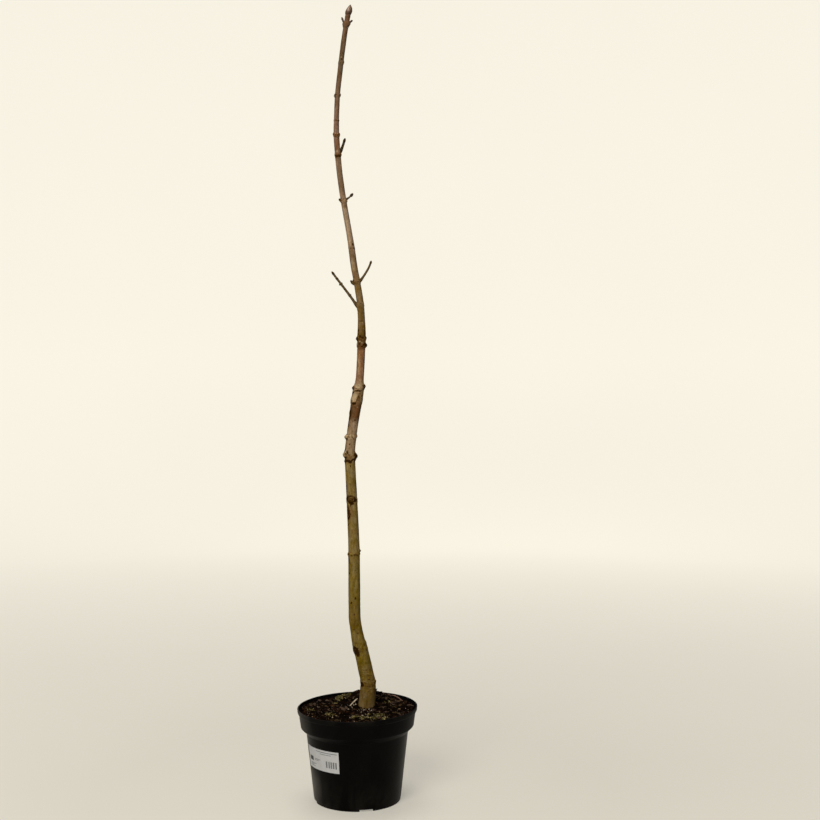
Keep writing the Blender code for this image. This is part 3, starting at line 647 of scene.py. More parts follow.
def plastic_look():
    """Black moulded plastic: satin, with a fine grain, a film of dust on the lip and low down, where it is
    also a painted reflection of the floor, and a painted sheen up the left side.
    """
    base = (0.0007, 0.0006, 0.0005)
    look = Look("black_plastic", base, 0.32, 0.045)
    height = look.height()
    clouds = look.noise(0.045, 6, 0.62, 0.6, 0.4)
    # The film: dust on the lip, and low down dust that is also a painted reflection of the floor.
    low = look.spread(height, 0.0, 0.070, 0.55, 0.06)
    high = look.spread(height, 0.196, POT_HEIGHT, 0.0, 0.30)
    outside = look.field("outside")
    film = look.times(look.times(look.plus(low, high), look.spread(clouds, 0.40, 0.72, 0.0, 1.0)), outside)
    colour = look.mix(film, base, (0.030, 0.026, 0.020))
    # Painted sheen: a lighter grey up the left of the body and the band, standing in for the bright floor's
    # reflection there.
    aside = look.add("Mapping", {"Vector": look.place, "Scale": (1, 1, 0)}).outputs[0]
    aside = look.add("VectorMath", {0: aside}, operation="NORMALIZE").outputs[0]
    aside = look.spread(look.add("SeparateXYZ", {0: aside}).outputs[0], -0.94, -0.74, 0.9, 0.0)
    body = look.spread(height, 0.060, 0.085, 1.0, 0.1)
    painted_left_sheen = look.maths("MAXIMUM", body, look.spread(height, 0.160, 0.170, 0.0, 0.62))
    uneven = look.spread(clouds, 0.30, 0.62, 0.45, 1.0)
    for share in (aside, uneven, look.spread(height, 0.0, 0.036, 0.30, 1.0), outside):
        painted_left_sheen = look.times(painted_left_sheen, share)
    colour = look.mix(painted_left_sheen, colour, (0.108, 0.096, 0.080))
    specks = look.spread(look.noise(0.0016, 2, 0.5), 0.70, 0.76, 0.0, 0.5)
    specks = look.times(specks, look.spread(height, 0.0, 0.2, 0.5, 0.12))
    colour = look.mix(specks, colour, (0.10, 0.08, 0.055))
    scuffs = look.noise(0.020, 4, 0.7, 14, 0.2)
    colour = look.tint(colour, scuffs, 0.66, 0.76, 0.25, (0.035, 0.033, 0.030))
    rough = look.plus(look.vary(clouds, 0.26, 0.38), look.spread(scuffs, 0.6, 0.8, 0.0, 0.12))
    rough = look.plus(rough, look.spread(outside, 0.0, 1.0, 0.4, 0.0))
    rough = look.plus(rough, look.spread(height, 0.150, 0.175, 0.06, 0.20))
    bumps = ((clouds, 0.0012, 0.10), (scuffs, 0.0003, 0.12), (look.noise(0.0009, 2, 0.5), 0.0001, 0.25))
    return look.finish(colour, rough, bumps)


def litter_look(name, colour, spread=0.45, roughness=0.92):
    """Compost, chips and fibres: one plain tone with finer grain than the pieces themselves."""
    look = Look(name, colour, roughness, 0.02)
    patches = look.noise(0.0055, 3, 0.6)
    fine = look.noise(0.0010, 4, 0.65, 1, 0.5)
    tone = look.mottle(colour, patches, 1 - spread, 1 + spread)
    tone = look.mottle(tone, fine, 0.70, 1.30)
    return look.finish(tone, look.vary(fine, roughness - 0.12, roughness), ((fine, 0.0005, 0.5),))


def card_look():
    """White label stock: a faint mottle, a few smears of soil and rubbed places."""
    look = Look("label_card", (0.60, 0.60, 0.58), 0.55, 0.25)
    clouds = look.noise(0.016, 5, 0.6)
    fibre = look.noise(0.0013, 3, 0.6, 2.5)
    tone = look.tint((0.62, 0.62, 0.605), clouds, 0.42, 0.75, 0.45, (0.50, 0.49, 0.46))
    tone = look.mottle(tone, fibre, 0.95, 1.04)
    tone = look.tint(tone, look.noise(0.0015, 2, 0.5), 0.72, 0.76, 0.55, (0.22, 0.18, 0.13))
    return look.finish(tone, look.vary(clouds, 0.42, 0.60), ((fibre, 0.0001, 0.25),))


def ink_look(name, colour):
    look = Look(name, colour, 0.55, 0.35)
    worn = tuple(value * 1.4 + 0.05 for value in colour)
    return look.finish(look.tint(colour, look.noise(0.0012, 4, 0.65), 0.48, 0.72, 0.7, worn))


# Stem.


def stem_middle(z):
    """x and y of the stem's middle at heights. Below its foot the stem goes straight down."""
    return smooth(STEM_ROUTE, z, 1), smooth(STEM_ROUTE, z, 2)


def scar_relief(z, azimuth, radius, scar):
    """(rise, darkness) of a shield-shaped leaf scar with a rolled rim and a row of vein dots."""
    height, turn, wide, tall, depth = scar
    v = (z - height) / tall
    u = radius * turned_from(azimuth, turn) / wide
    across = u / (0.72 + 0.28 * np.clip(v, -1, 1))
    q = np.hypot(across, v)
    rise = 0.7 * depth * bell((q - 1.05) / 0.30) - depth * step((0.95 - q) / 0.35)
    dark = 0.75 * bell((q - 0.98) / 0.26) + 0.22 * step((1 - q) / 0.3)
    for i in range(5):
        bend = math.radians(-64 + 32 * i)
        dot = np.hypot(across - 0.60 * math.sin(bend), v + 0.52 * math.cos(bend) - 0.12) / 0.15
        rise = rise + 0.5 * depth * bell(dot)
        dark = np.maximum(dark, 0.8 * bell(dot))
    return rise, dark


def extra_marks():
    """Small marks all round, in a fixed order: more of them low down and at the back."""
    rng = np.random.default_rng(5)
    found = []
    for i in range(420):
        turn = rng.uniform(10, 170) if i < 90 else rng.uniform(0, 360)
        height = 0.22 + 1.5 * rng.uniform(0, 1) ** 1.2
        size = rng.uniform(0.0007, 0.0019) * (1.2 if height < 0.9 else 0.8)
        kind = ("dark", "dark", "ruddy", "pale")[i % 4]
        strength = rng.uniform(0.35, 0.85) * (0.6 if kind == "pale" else 1.0)
        found.append((kind, height, turn, size * rng.uniform(0.9, 2.2), size, strength, 0.00012))
    return found


def ring_flecks():
    """Flecks close together over each growth ring, in a fixed order."""
    rng = np.random.default_rng(6)
    found = []
    for height, swell, reach, *others in GROWTH_RINGS:
        for i in range(22 + int(9000 * swell)):
            kind = ("dark", "pale", "dark", "ruddy", "pale")[i % 5]
            size = rng.uniform(0.0006, 0.0014) * (1.25 if height < 0.95 else 0.85)
            at = height + rng.normal(0, 0.55 * reach)
            strength = rng.uniform(0.45, 0.95) * (0.75 if kind == "pale" else 1.0)
            shape = (size * rng.uniform(0.6, 1.2), size * rng.uniform(0.8, 1.9))
            found.append((kind, at, rng.uniform(0, 360), *shape, strength, 0.00012))
    return found


def plateau(t):
    """1 over a broad middle, falling smoothly to 0 at t = -1 and t = 1."""
    return np.clip(1 - np.power(t, 4), 0, None) ** 2


def stem_surface(z, azimuth):
    """(points, fields) of the barked stem at heights and azimuths that broadcast together."""
    z, azimuth = np.broadcast_arrays(z, azimuth)
    plain = smooth(STEM_RADIUS, z)
    x, y = stem_middle(z)
    at = standing(plain, azimuth, z, x, y)
    thick = np.clip(plain / 0.014, 0.4, 1.3)
    wander = grain(at, (0.006, 0.006, 0.008), 3)
    ragged = layered(at, 0.0036, 7)
    coarse = grain(at, (0.010, 0.010, 0.030), 29)
    radius = plain.copy()
    patchy = grain(at, (0.0065, 0.0065, 0.0048), 31)
    relief = np.zeros_like(plain)
    fields = {kind: np.zeros_like(plain) for kind in MARKS}

    def darken(amount):
        fields["dark"] = np.maximum(fields["dark"], amount)

    for height, swell, reach, pair, dip, shade in GROWTH_RINGS:
        off = z - (height - dip * np.sin(azimuth - math.radians(pair)) ** 2)
        off = off + 0.0009 * wander + 0.0005 * patchy
        swollen = 0.35 * bell(off / reach) + 0.65 * plateau(off / (0.92 * reach))
        radius = radius + swell * (0.90 + 0.40 * coarse) * swollen
        ridges = np.cos(TAU * (off + 0.0005 * ragged) / RIDGE_WAVE) * bell(off / (1.05 * reach))
        relief += RIDGE_RISE * (0.35 + 0.5 * shade) * ridges * (0.75 + 0.5 * patchy)
        broken = 0.80 + 0.45 * ragged + 0.60 * patchy - 0.20 * ridges
        band = plateau((off + 0.0016 * ragged) / reach) * broken
        line = bell((off + 0.75 * reach) / 0.0017) * np.clip(0.35 + 1.6 * patchy, 0, 1)
        darken(shade * np.clip(band, 0, 1))
        darken(0.5 * shade**0.5 * line)
    for height, turn, rise, reach, spread in KNOBS:
        aside = turned_from(azimuth, turn) / math.radians(spread)
        radius = radius + rise * bell((z - height + 0.0008 * wander) / reach) * bell(aside)
    for scar in LEAF_SCARS:
        rise, dark = scar_relief(z, azimuth, radius, scar)
        relief += rise
        darken(0.7 * dark * (0.8 + 0.3 * ragged))
    marks = [(kind, *mark) for kind, found in MARKS.items() for mark in found]
    for kind, height, turn, tall, wide, strength, depth in (*marks, *extra_marks(), *ring_flecks()):
        near = np.abs(z - height) < 1.6 * tall
        aside = radius[near] * turned_from(azimuth[near], turn) / wide
        q = np.hypot((z[near] - height) / tall, aside) + 0.42 * ragged[near]
        amount = step((1.25 - q) / 0.80)
        relief[near] -= depth * amount
        fields[kind][near] = np.maximum(fields[kind][near], strength * amount)
    # The horseshoe knot: a dark sunken rim, open above, with a browner middle.
    height, turn = HORSESHOE
    q = np.hypot((z - height) / 0.0088, radius * turned_from(azimuth, turn) / 0.0112)
    rim = bell((q - 0.90) / 0.46) * step((height + 0.0125 - z) / 0.009)
    darken(np.clip(rim * (0.92 + 0.8 * ragged + 0.4 * patchy), 0, 1))
    relief += 0.0005 * bell((q - 1.30) / 0.28) - 0.0007 * rim
    # The healed cut on the left: a flat face with a rolled edge, and painted shadow under the lower half of
    # that edge.
    height, turn = HEALED_CUT
    q = np.hypot((z - height) / 0.0120, radius * turned_from(azimuth, turn) / 0.0070)
    relief += 0.0006 * bell((q - 1.0) / 0.30)
    darken(0.8 * bell((q - 1.14) / 0.20) * step((height + 0.0025 - z) / 0.010))
    fields["dark"] = fields["dark"] * (1 - 0.9 * step((0.95 - q) / 0.15))
    # The sunken line between the two bud seats of the big ring, low in front and behind.
    sag = BIG_RING_SAG + (0.0080 + 0.0045 * np.cos(azimuth)) * np.cos(azimuth) ** 2
    relief -= 0.0007 * bell((z - sag + 0.0006 * wander) / 0.0024)
    saddle = bell((z - sag + 0.0020 * wander + 0.0010 * ragged) / 0.0056)
    darken(np.clip(saddle * (1 + 0.7 * ragged + 0.3 * patchy), 0, 1))
    # Grain, lumps, and wrinkles that ring the foot and the old bends; the wrinkles' troughs carry painted
    # shade and their crests painted highlight.
    relief += thick * 0.00020 * layered(at, (0.0042, 0.0042, 0.0140), 11)
    relief += thick * 0.00030 * layered(at, (0.016, 0.016, 0.026), 17)
    low = sum(share * bell((z - height) / reach) for height, reach, share in WRINKLES)
    bowed = 0.0050 * grain(at, (0.014, 0.014, 0.020), 23) + 0.0030 * grain(at, (0.006, 0.006, 0.008), 27)
    waves = np.sin(TAU * (z + bowed) / (0.0058 + 0.0016 * np.sin(z * 130)))
    relief += 0.00026 * low * waves * (0.6 + 0.4 * wander)
    # Painted shade in the wrinkles' troughs and painted highlight on their crests.
    darken(0.74 * low * step((-waves - 0.30) / 0.6) * (0.70 + 0.6 * ragged + 0.4 * patchy))
    pale = 0.36 * low * step((waves - 0.40) / 0.5) * (0.70 + 0.8 * ragged)
    fields["pale"] = np.maximum(fields["pale"], pale)
    above = (z - STEM_FOOT) / ROOT_FLARE
    relief += 0.00045 * bell(above) * np.cos(5 * azimuth + 9 * above + wander)
    soil = step((0.2115 + 0.0035 * wander - z) / 0.006)
    darken(0.55 * soil * (0.6 + 0.5 * ragged))
    flecked = step((grain(at, (0.0060, 0.0060, 0.0110), 33) - 0.15) / 0.5) * step((0.300 - z) / 0.05)
    darken(0.42 * flecked * (0.7 + 0.6 * ragged))
    radius = radius + relief + 0.0012 * step((STEM_FOOT - z) / 0.006)
    return standing(radius, azimuth, z, x, y), fields


def stem_levels():
    """Heights of the stem's rows of points, closer together over each node."""
    nodes = np.array([row[0] for row in GROWTH_RINGS] + [OLD_SEAT, HEALED_CUT[0]])
    levels, z = [], STEM_BURIED
    while z < STEM_TOP - STEM_STEPS[0]:
        levels.append(z)
        z += STEM_STEPS[0] if np.abs(nodes - z).min() < NODE_REACH else STEM_STEPS[1]
    return np.array(levels + [STEM_TOP])


def make_stem():
    points, fields = stem_surface(stem_levels()[:, None], around(STEM_SIDES)[None, :])
    tube, faces = closed_tube(points)
    fields = {key: capped(value) for key, value in fields.items()}
    stem = make_piece("stem_bark", tube, faces, [bark_look()], "bark", fields=fields)
    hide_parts("trunk")


LENTICEL_TONES = {
    "lenticel_tan": (0.200, 0.130, 0.052),
    "lenticel_rust": (0.120, 0.056, 0.018),
    "lenticel_grey": (0.235, 0.180, 0.095),
}


def make_lenticels():
    """Small corky warts, half sunk in the bark, more of them low down."""
    rng = np.random.default_rng(12)
    count = 1100
    z = 0.225 + 1.49 * rng.uniform(0, 1, count) ** 1.25
    azimuth = rng.uniform(0, TAU, count)
    places = stem_surface(z, azimuth)[0]
    turns = around(8)
    ring = stacked(0 * turns, np.cos(turns), np.sin(turns))
    levels = ((1.0, -0.5), (0.92, 0.25), (0.55, 0.80))
    rows = np.stack([ring * (1, wide, wide) + (out, 0, 0) for wide, out in levels])
    shape = closed_tube(rows)
    big = rng.uniform(0.7, 1.25, count) * np.interp(z, (0.2, 0.9, 1.7), (1.15, 0.85, 0.65))
    sizes = stacked(0.00020 * big, 0.00040 * big, 0.00070 * big * rng.uniform(0.7, 1.3, count))
    tones = rng.choice(3, count, p=(0.5, 0.3, 0.2))
    looks = [lenticel_look(name, tone) for name, tone in LENTICEL_TONES.items()]
    turns = turned(azimuth, rng.normal(0, 0.08, count), rng.normal(0, 0.25, count))
    scatter("stem_lenticels", [shape], places, turns, sizes, tones, looks, "bark", sharp=60)


# Shoots and buds.


def scale_layers(share, azimuth, tips, turn):
    """(how many bud scales cover each point, how close it is to a scale's edge)."""
    covered, edge = np.zeros_like(share), np.zeros_like(share)
    for k, tip in enumerate(tips):
        half = 1.85 * np.sqrt(np.clip(1 - (share / tip) ** 2.6, 0, 1))
        for side in (0, math.pi):
            inside = half - np.abs(wrapped(azimuth - turn - side - (k % 2) * math.pi / 2))
            covered = covered + step(inside / 0.16)
            edge = np.maximum(edge, bell((inside + 0.06) / 0.17) * (share < tip + 0.03))
    return covered, edge


def shoot_radius(shoot, at):
    """A shoot's radius at distances from its root, up through its end bud."""
    length, root, neck, bud, bud_length = shoot[4:]
    start = length - bud_length
    outline = ((0, neck), (0.40, bud), (0.80, 0.74 * bud), (1.0, 0.22 * bud))
    radius = root + (neck - root) * np.clip(at, 0, None) / start
    radius = radius + 0.25 * root * bell(at / (4 * root))
    if shoot[0] == LONG_TWIG:
        for share, rise, reach in TWIG_RINGS:
            radius = radius + rise * bell((at - share * length) / reach)
    return np.where(at > start, smooth(outline, (at - start) / bud_length), radius)


def make_shoot(shoot, look, slot):
    """A tapering twig or bud with wrinkled bark, scale scars and an end bud of paired scales."""
    name, height, turn, rises, length, root, neck, bud, bud_length = shoot
    azimuth = math.radians(turn)
    start = stem_surface(np.array([height]), np.array([azimuth]))[0][0]
    buried = 1.3 * root * math.tan(math.radians(rises[0])) + SHOOT_BURIED
    at = np.append(np.arange(-buried, length, SHOOT_STEP), length)
    rise = np.radians(np.interp(at / length, (0, 0.5, 1), rises))
    ways = stacked(math.cos(azimuth) * np.cos(rise), math.sin(azimuth) * np.cos(rise), np.sin(rise))
    moves = (ways[1:] + ways[:-1]) / 2 * np.diff(at)[:, None]
    places = np.concatenate([np.zeros((1, 3)), np.cumsum(moves, axis=0)])
    places = places - places[np.argmin(np.abs(at))] + start
    aside = np.array((-math.sin(azimuth), math.cos(azimuth), 0.0))
    up = np.cross(ways, aside)
    turns = around(SHOOT_SIDES)
    radius = np.repeat(shoot_radius(shoot, at)[:, None], SHOOT_SIDES, axis=1)
    bud_share = np.clip((at - length + bud_length) / bud_length, 0, 1)[:, None]
    spot = stacked(np.cos(turns)[None, :] * 2, np.sin(turns)[None, :] * 2, at[:, None] / MM)
    wood = 1 - step(bud_share / 0.1)
    radius = radius + wood * 0.00009 * layered(spot, (1.1, 1.1, 1.6), 31)
    bud_share = np.broadcast_to(bud_share, radius.shape)
    covered, edge = scale_layers(bud_share, turns[None, :], (0.42, 0.72, 1.0), 0.0)
    radius = radius - (1 - wood) * 0.00011 * (3 - covered) * (radius / bud)
    dark = (1 - wood) * np.maximum(edge, 0.0 if name.startswith("stub") else 0.55)
    # Scars of old bud scales ring the root, the neck of the end bud and the places of TWIG_RINGS.
    for centre in (0.0016, length - bud_length, *(ring[0] * length for ring in TWIG_RINGS)):
        ringed = centre < 0.01 or length > 0.06 or centre > 0.5 * length
        if ringed and centre < length - 0.5 * bud_length:
            off = at[:, None] - centre + 0.0002 * grain(spot, 2.0, 37)
            ridges = np.cos(TAU * off / 0.0013) * bell(off / 0.0022)
            radius = radius + 0.00008 * ridges
            dark = np.maximum(dark, 0.8 * bell(off / 0.0020) * (0.5 - 0.5 * ridges))
    if name == LONG_TWIG:
        for share, turn, swell in LONG_TWIG_SEATS:
            off = (at[:, None] - share * length - 0.0006) / 0.0022
            lump = bell(off) * bell(turned_from(turns[None, :], turn) / 0.9)
            radius = radius + swell * lump
            dark = np.maximum(dark, 0.7 * lump)
    ring = np.cos(turns)[None, :, None] * aside + np.sin(turns)[None, :, None] * up[:, None, :]
    grid = places[:, None, :] + radius[..., None] * ring
    tube, faces = closed_tube(grid)
    along = 0.25 + 0.75 * bud_share if name.startswith("side_bud") else bud_share
    fields = {"dark": capped(dark), "along": capped(along, 1)}
    made = make_piece(name + "_bark", tube, faces, [look], slot, fields=fields)
    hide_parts(name)


def make_end_bud():
    """The large end bud: four pairs of overlapping scales on an egg shape, leaning to the right."""
    share, turns = np.broadcast_arrays(np.linspace(0, 1, BUD_ROWS)[:, None], around(BUD_SIDES)[None, :])
    outline = smooth(BUD_OUTLINE, share)
    radius = outline * (1 + BUD_SQUARING * np.cos(4 * turns) * bell(share))
    covered, edge = scale_layers(share, turns, (0.34, 0.58, 0.82, 1.0), math.radians(BUD_TURN))
    radius = radius - 0.00042 * (4 - np.clip(covered, 0, 4)) * (outline / BUD_WIDTH) * step(share / 0.10)
    keel = np.abs(np.sin(2 * (turns - math.radians(BUD_TURN))))
    radius = radius + 0.00010 * (1 - keel) ** 3 * outline / BUD_WIDTH
    spot = stacked(np.cos(turns) * 7, np.sin(turns) * 7, share * 21)
    radius = radius + 0.00008 * layered(spot, (1.6, 1.6, 4.0), 41)
    height = STEM_TOP - 0.0004 + share * (BUD_LENGTH + 0.0004)
    x, y = (start + share * drift for start, drift in zip(stem_middle(STEM_TOP), BUD_DRIFT))
    tube, faces = closed_tube(standing(radius, turns, height, x, y))
    dark = np.maximum(edge * (0.85 + 0.3 * grain(spot, 2.0, 43)), bell((share - 0.02) / 0.09))
    # A pale patch on the front of the bud is a painted highlight.
    shine = np.hypot((share - 0.50) / 0.32, turned_from(turns, 262) / 0.85)
    pale = step(1.25 * (1 - shine)) * (0.85 + 0.4 * grain(spot, (1.2, 1.2, 5.0), 47))
    fields = {"dark": capped(dark), "pale": capped(pale), "along": capped(share, 1)}
    look = bud_look("end_bud_scales", (0.105, 0.056, 0.033), (0.155, 0.088, 0.050), (0.070, 0.036, 0.020))
    bud = make_piece("end_bud_scales", tube, faces, [look], "bud_scales", fields=fields)
    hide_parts("terminal_bud")


# Pot.


def slanted(points):
    """Pot points once the rim is set aslant: right side up, left side down."""
    points = np.array(points, float)
    points[..., 2] += RIM_SLANT * points[..., 0] * points[..., 2] / POT_HEIGHT
    return points


def wall_radius(z):
    share = (z - BODY_BASE[1]) / (BODY_TOP[1] - BODY_BASE[1])
    return BODY_BASE[0] + share * (BODY_TOP[0] - BODY_BASE[0])


def pot_profile():
    """(radius, height) from the floor's top up the inside, over the lip and down to the floor."""
    floor_top = FLOOR_UNDERSIDE + WALL
    lip_base = POT_HEIGHT - LIP_HEIGHT
    return [
        (0.0, floor_top),
        (BODY_BASE[0] - WALL - 0.0020, floor_top),
        (BODY_BASE[0] - WALL, floor_top + 0.0022),
        (BODY_TOP[0] - WALL, BODY_TOP[1] + 0.0008),
        (BAND_BASE[0] - WALL - 0.0010, BAND_BASE[1] + 0.0006),
        (BAND_BASE[0] - WALL, BAND_BASE[1] + 0.0022),
        (BAND_TOP[0] - WALL, BAND_TOP[1]),
        (LIP_OUTER - 0.0034, lip_base + 0.0030),
        (LIP_OUTER - 0.0034, POT_HEIGHT),
        (LIP_OUTER, POT_HEIGHT),
        (LIP_OUTER - 0.0004, lip_base + 0.0030),
        (LIP_OUTER - 0.0012, lip_base - 0.0004),
        (BAND_TOP[0] + 0.0004, lip_base - 0.0014),
        BAND_TOP,
        (BAND_BASE[0], BAND_BASE[1] - 0.0004),
        (BODY_TOP[0] + 0.0008, BODY_TOP[1] + 0.0020),
        BODY_TOP,
        BODY_BASE,
        (FOOT_OUTER + 0.0008, BODY_BASE[1] - 0.0024),
        (FOOT_OUTER, 0.0),
        (FOOT_INNER, 0.0),
        (FOOT_INNER - 0.0010, FLOOR_UNDERSIDE),
        (0.0, FLOOR_UNDERSIDE),
    ]


def rounded(profile, reach, least_step):
    """The profile with its corners rounded, and its long straights divided."""
    profile = np.array(profile)
    found = [profile[0]]
    for before, here, after in zip(profile, profile[1:], profile[2:]):
        back, on = before - here, after - here
        near = min(reach, 0.42 * np.linalg.norm(back), 0.42 * np.linalg.norm(on))
        start = here + back / np.linalg.norm(back) * near
        end = here + on / np.linalg.norm(on) * near
        for t in (0.0, 0.25, 0.5, 0.75, 1.0):
            found.append((1 - t) ** 2 * start + 2 * t * (1 - t) * here + t * t * end)
    found.append(profile[-1])
    full = [found[0]]
    for start, end in zip(found, found[1:]):
        count = max(1, math.ceil(np.linalg.norm(end - start) / least_step))
        full += [start + (end - start) * (i + 1) / count for i in range(count)]
    return np.array(full)


def notch_turns():
    return [math.radians(NOTCH_AZIMUTH) + TAU * i / NOTCH_COUNT for i in range(NOTCH_COUNT)]


def make_pot():
    """The turned shell with rounded edges, its foot notched and its floor pierced for drainage."""
    profile = rounded(pot_profile(), 0.0009, POT_STEP)
    half = math.asin(NOTCH_WIDTH / 2 / FOOT_OUTER)
    edges = (half - 0.003, half + 0.003, -half + 0.003, -half - 0.003)
    cuts = [turn + edge for turn in notch_turns() for edge in edges]
    turns = np.sort(np.concatenate([around(POT_SIDES), np.array(cuts) % TAU]))
    radius, z = profile[1:-1, 0][:, None], profile[1:-1, 1][:, None]
    at = standing(radius, turns, z)
    sway = 0.00022 * layered(at, (0.055, 0.055, 0.085), 51)
    radius = radius + sway * step((POT_HEIGHT - z) / 0.03) * step(z / 0.02)
    lifted = np.broadcast_to(z, radius.shape).copy()
    outside = np.ones(radius.shape)
    outside[: np.argmax(profile[:, 0] > LIP_OUTER - 0.0030)] = 0
    for turn in notch_turns():
        inside = np.abs(wrapped(turns - turn)) < half
        low = inside[None, :] & (lifted < NOTCH_HEIGHT) & (radius > FOOT_INNER - 0.0012)
        lifted[low] = NOTCH_HEIGHT
    grid = slanted(standing(radius, turns, lifted))
    points, faces = closed_tube(grid, [(0, 0, profile[0][1]), (0, 0, profile[-1][1])])
    fields = {"outside": capped(outside, 1)}
    pot = make_piece("pot_shell", points, faces, [plastic_look()], "pot_plastic", fields=fields, sharp=50)
    drill_floor(pot)
    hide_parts("pot")


def drill_floor(pot):
    """Cuts the drain holes and applies the cut."""
    bm = bmesh.new()
    for reach, count, start in DRAIN_RINGS:
        for i in range(count):
            azimuth = math.radians(start) + TAU * i / count
            size = {"radius1": DRAIN_RADIUS, "radius2": DRAIN_RADIUS, "depth": 2 * FLOOR_UNDERSIDE}
            made = bmesh.ops.create_cone(bm, cap_ends=True, segments=32, **size)
            place = (reach * math.cos(azimuth), reach * math.sin(azimuth), FLOOR_UNDERSIDE)
            bmesh.ops.translate(bm, vec=place, verts=made["verts"])
    mesh = bpy.data.meshes.new("drain_cutter")
    bm.to_mesh(mesh)
    bm.free()
    drill = placed("drain_cutter", mesh)
    cut = pot.modifiers.new("drain", "BOOLEAN")
    cut.operation = "DIFFERENCE"
    cut.solver = "EXACT"
    cut.object = drill
    graph = bpy.context.evaluated_depsgraph_get()
    whole = bpy.data.meshes.new_from_object(pot.evaluated_get(graph))
    pot.modifiers.remove(cut)
    pot.data = whole
    bpy.data.objects.remove(drill)


# Label.

LABEL_THICKNESS = 0.0003
LABEL_COLUMNS = 120
LABEL_ROWS = 44
INK_RISE = 0.00004
# Printed shapes on the label: (left, bottom, right, top) in millimetres, and grey or black.
RULES = (
    (38.0, 43.0, 99.0, 44.6, 0),
    (52.0, 38.6, 84.0, 40.0, 0),
    (8.0, 17.6, 25.0, 27.4, 1),
    (31.0, 23.6, 52.0, 25.2, 0),
    (31.0, 20.8, 46.0, 22.2, 0),
    (10.0, 11.4, 36.0, 12.8, 0),
    (10.0, 8.4, 26.0, 9.8, 0),
    (10.0, 5.4, 31.0, 6.8, 0),
)
BARS = (66.0, 10.0, 97.0, 25.0, 10)


def label_point(u, v, out):
    """A point on the label, u along it and v up it in metres, lifted a little at its edges."""
    first, last = np.radians(LABEL_AZIMUTHS)
    low, high = LABEL_LEVELS
    span = label_span()
    azimuth = first + (last - first) * u / span
    z = low + v
    s, t = u / span, v / (high - low)
    curl = 0.00055 * step((s - 0.93) / 0.07) * step((t - 0.55) / 0.45)
    curl = curl + 0.00030 * step((0.06 - s) / 0.06) * step((0.5 - t) / 0.5)
    waves = 0.00007 * layered(stacked(u / MM, v / MM, 0 * u), (17.0, 11.0, 1.0), 61)
    radius = wall_radius(z) + 0.00042 + curl + waves + out
    return slanted(standing(radius, azimuth, z))


def label_span():
    first, last = np.radians(LABEL_AZIMUTHS)
    return (last - first) * wall_radius(sum(LABEL_LEVELS) / 2)


def slab(left, bottom, right, top, low, high, columns, rows):
    """(points, faces) of a thin closed sheet on the label, between two distances from it."""
    u, v = np.meshgrid(np.linspace(left, right, columns), np.linspace(bottom, top, rows))
    front = label_point(u, v, high).reshape(-1, 3)
    back = label_point(u, v, low).reshape(-1, 3)
    at = np.arange(rows * columns).reshape(rows, columns)
    quads = np.stack([at[:-1, :-1], at[:-1, 1:], at[1:, 1:], at[1:, :-1]], axis=-1).reshape(-1, 4)
    faces = quads.tolist() + (quads[:, ::-1] + rows * columns).tolist()
    edge = np.concatenate([at[0, :-1], at[:-1, -1], at[-1, :0:-1], at[:0:-1, 0]])
    for a, b in zip(edge, np.roll(edge, -1)):
        faces.append([int(b), int(a), int(a) + rows * columns, int(b) + rows * columns])
    return np.concatenate([front, back]), faces


def make_label():
    high = LABEL_LEVELS[1] - LABEL_LEVELS[0]
    points, faces = slab(0, 0, label_span(), high, -LABEL_THICKNESS, 0.0, LABEL_COLUMNS, LABEL_ROWS)
    card = make_piece("label_sheet", points, faces, [card_look()], "label_card", sharp=50)
    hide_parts("label")
    shapes = [(*(value * MM for value in rule[:4]), rule[4]) for rule in RULES]
    rng = np.random.default_rng(8)
    left, bottom, right, top, count = BARS
    widths = np.tile((2.4, 0.5, 0.9, 2.0), count)[: 2 * count]
    edges = np.cumsum(widths * rng.uniform(0.8, 1.2, 2 * count))
    edges = left + (right - left) * edges / edges[-1]
    shapes += [(a * MM, bottom * MM, b * MM, top * MM, 1) for a, b in zip(edges[::2], edges[1::2])]
    parts = []
    for left, bottom, right, top, tone in shapes:
        columns = max(2, math.ceil((right - left) / 0.002) + 1)
        rows = max(2, math.ceil((top - bottom) / 0.003) + 1)
        parts.append((*slab(left, bottom, right, top, -INK_RISE, INK_RISE, columns, rows), tone))
    points, faces, tones = joined(parts)
    looks = [ink_look("print_grey", (0.19, 0.19, 0.19)), ink_look("print_black", (0.035, 0.035, 0.037))]
    make_piece("label_print", points, faces, looks, "label_card", tones=tones, sharp=40)


# Compost.

STEM_CLEAR = 0.0215
LITTER_REACH = 0.1285
SOIL_TONES = {
    "peat": (0.0026, 0.0012, 0.0005),
    "black_bark": (0.0052, 0.0027, 0.0013),
    "brown_bark": (0.0140, 0.0060, 0.0027),
    "red_bark": (0.0300, 0.0112, 0.0042),
    # Grey chips are grey bark, and partly painted glints of wet chips.
    "grey_bark_and_glint": (0.0680, 0.0440, 0.0300),
    "straw": (0.1400, 0.0930, 0.0420),
    "pale_wood": (0.420, 0.345, 0.240),
}
# Moss greens: a mid green, a near-black green that is partly painted shade, and a pale green that is partly
# painted highlight.
MOSS_TONES_AND_PAINTED_LIGHT = ((0.142, 0.114, 0.028), (0.020, 0.016, 0.004), (0.420, 0.350, 0.165))
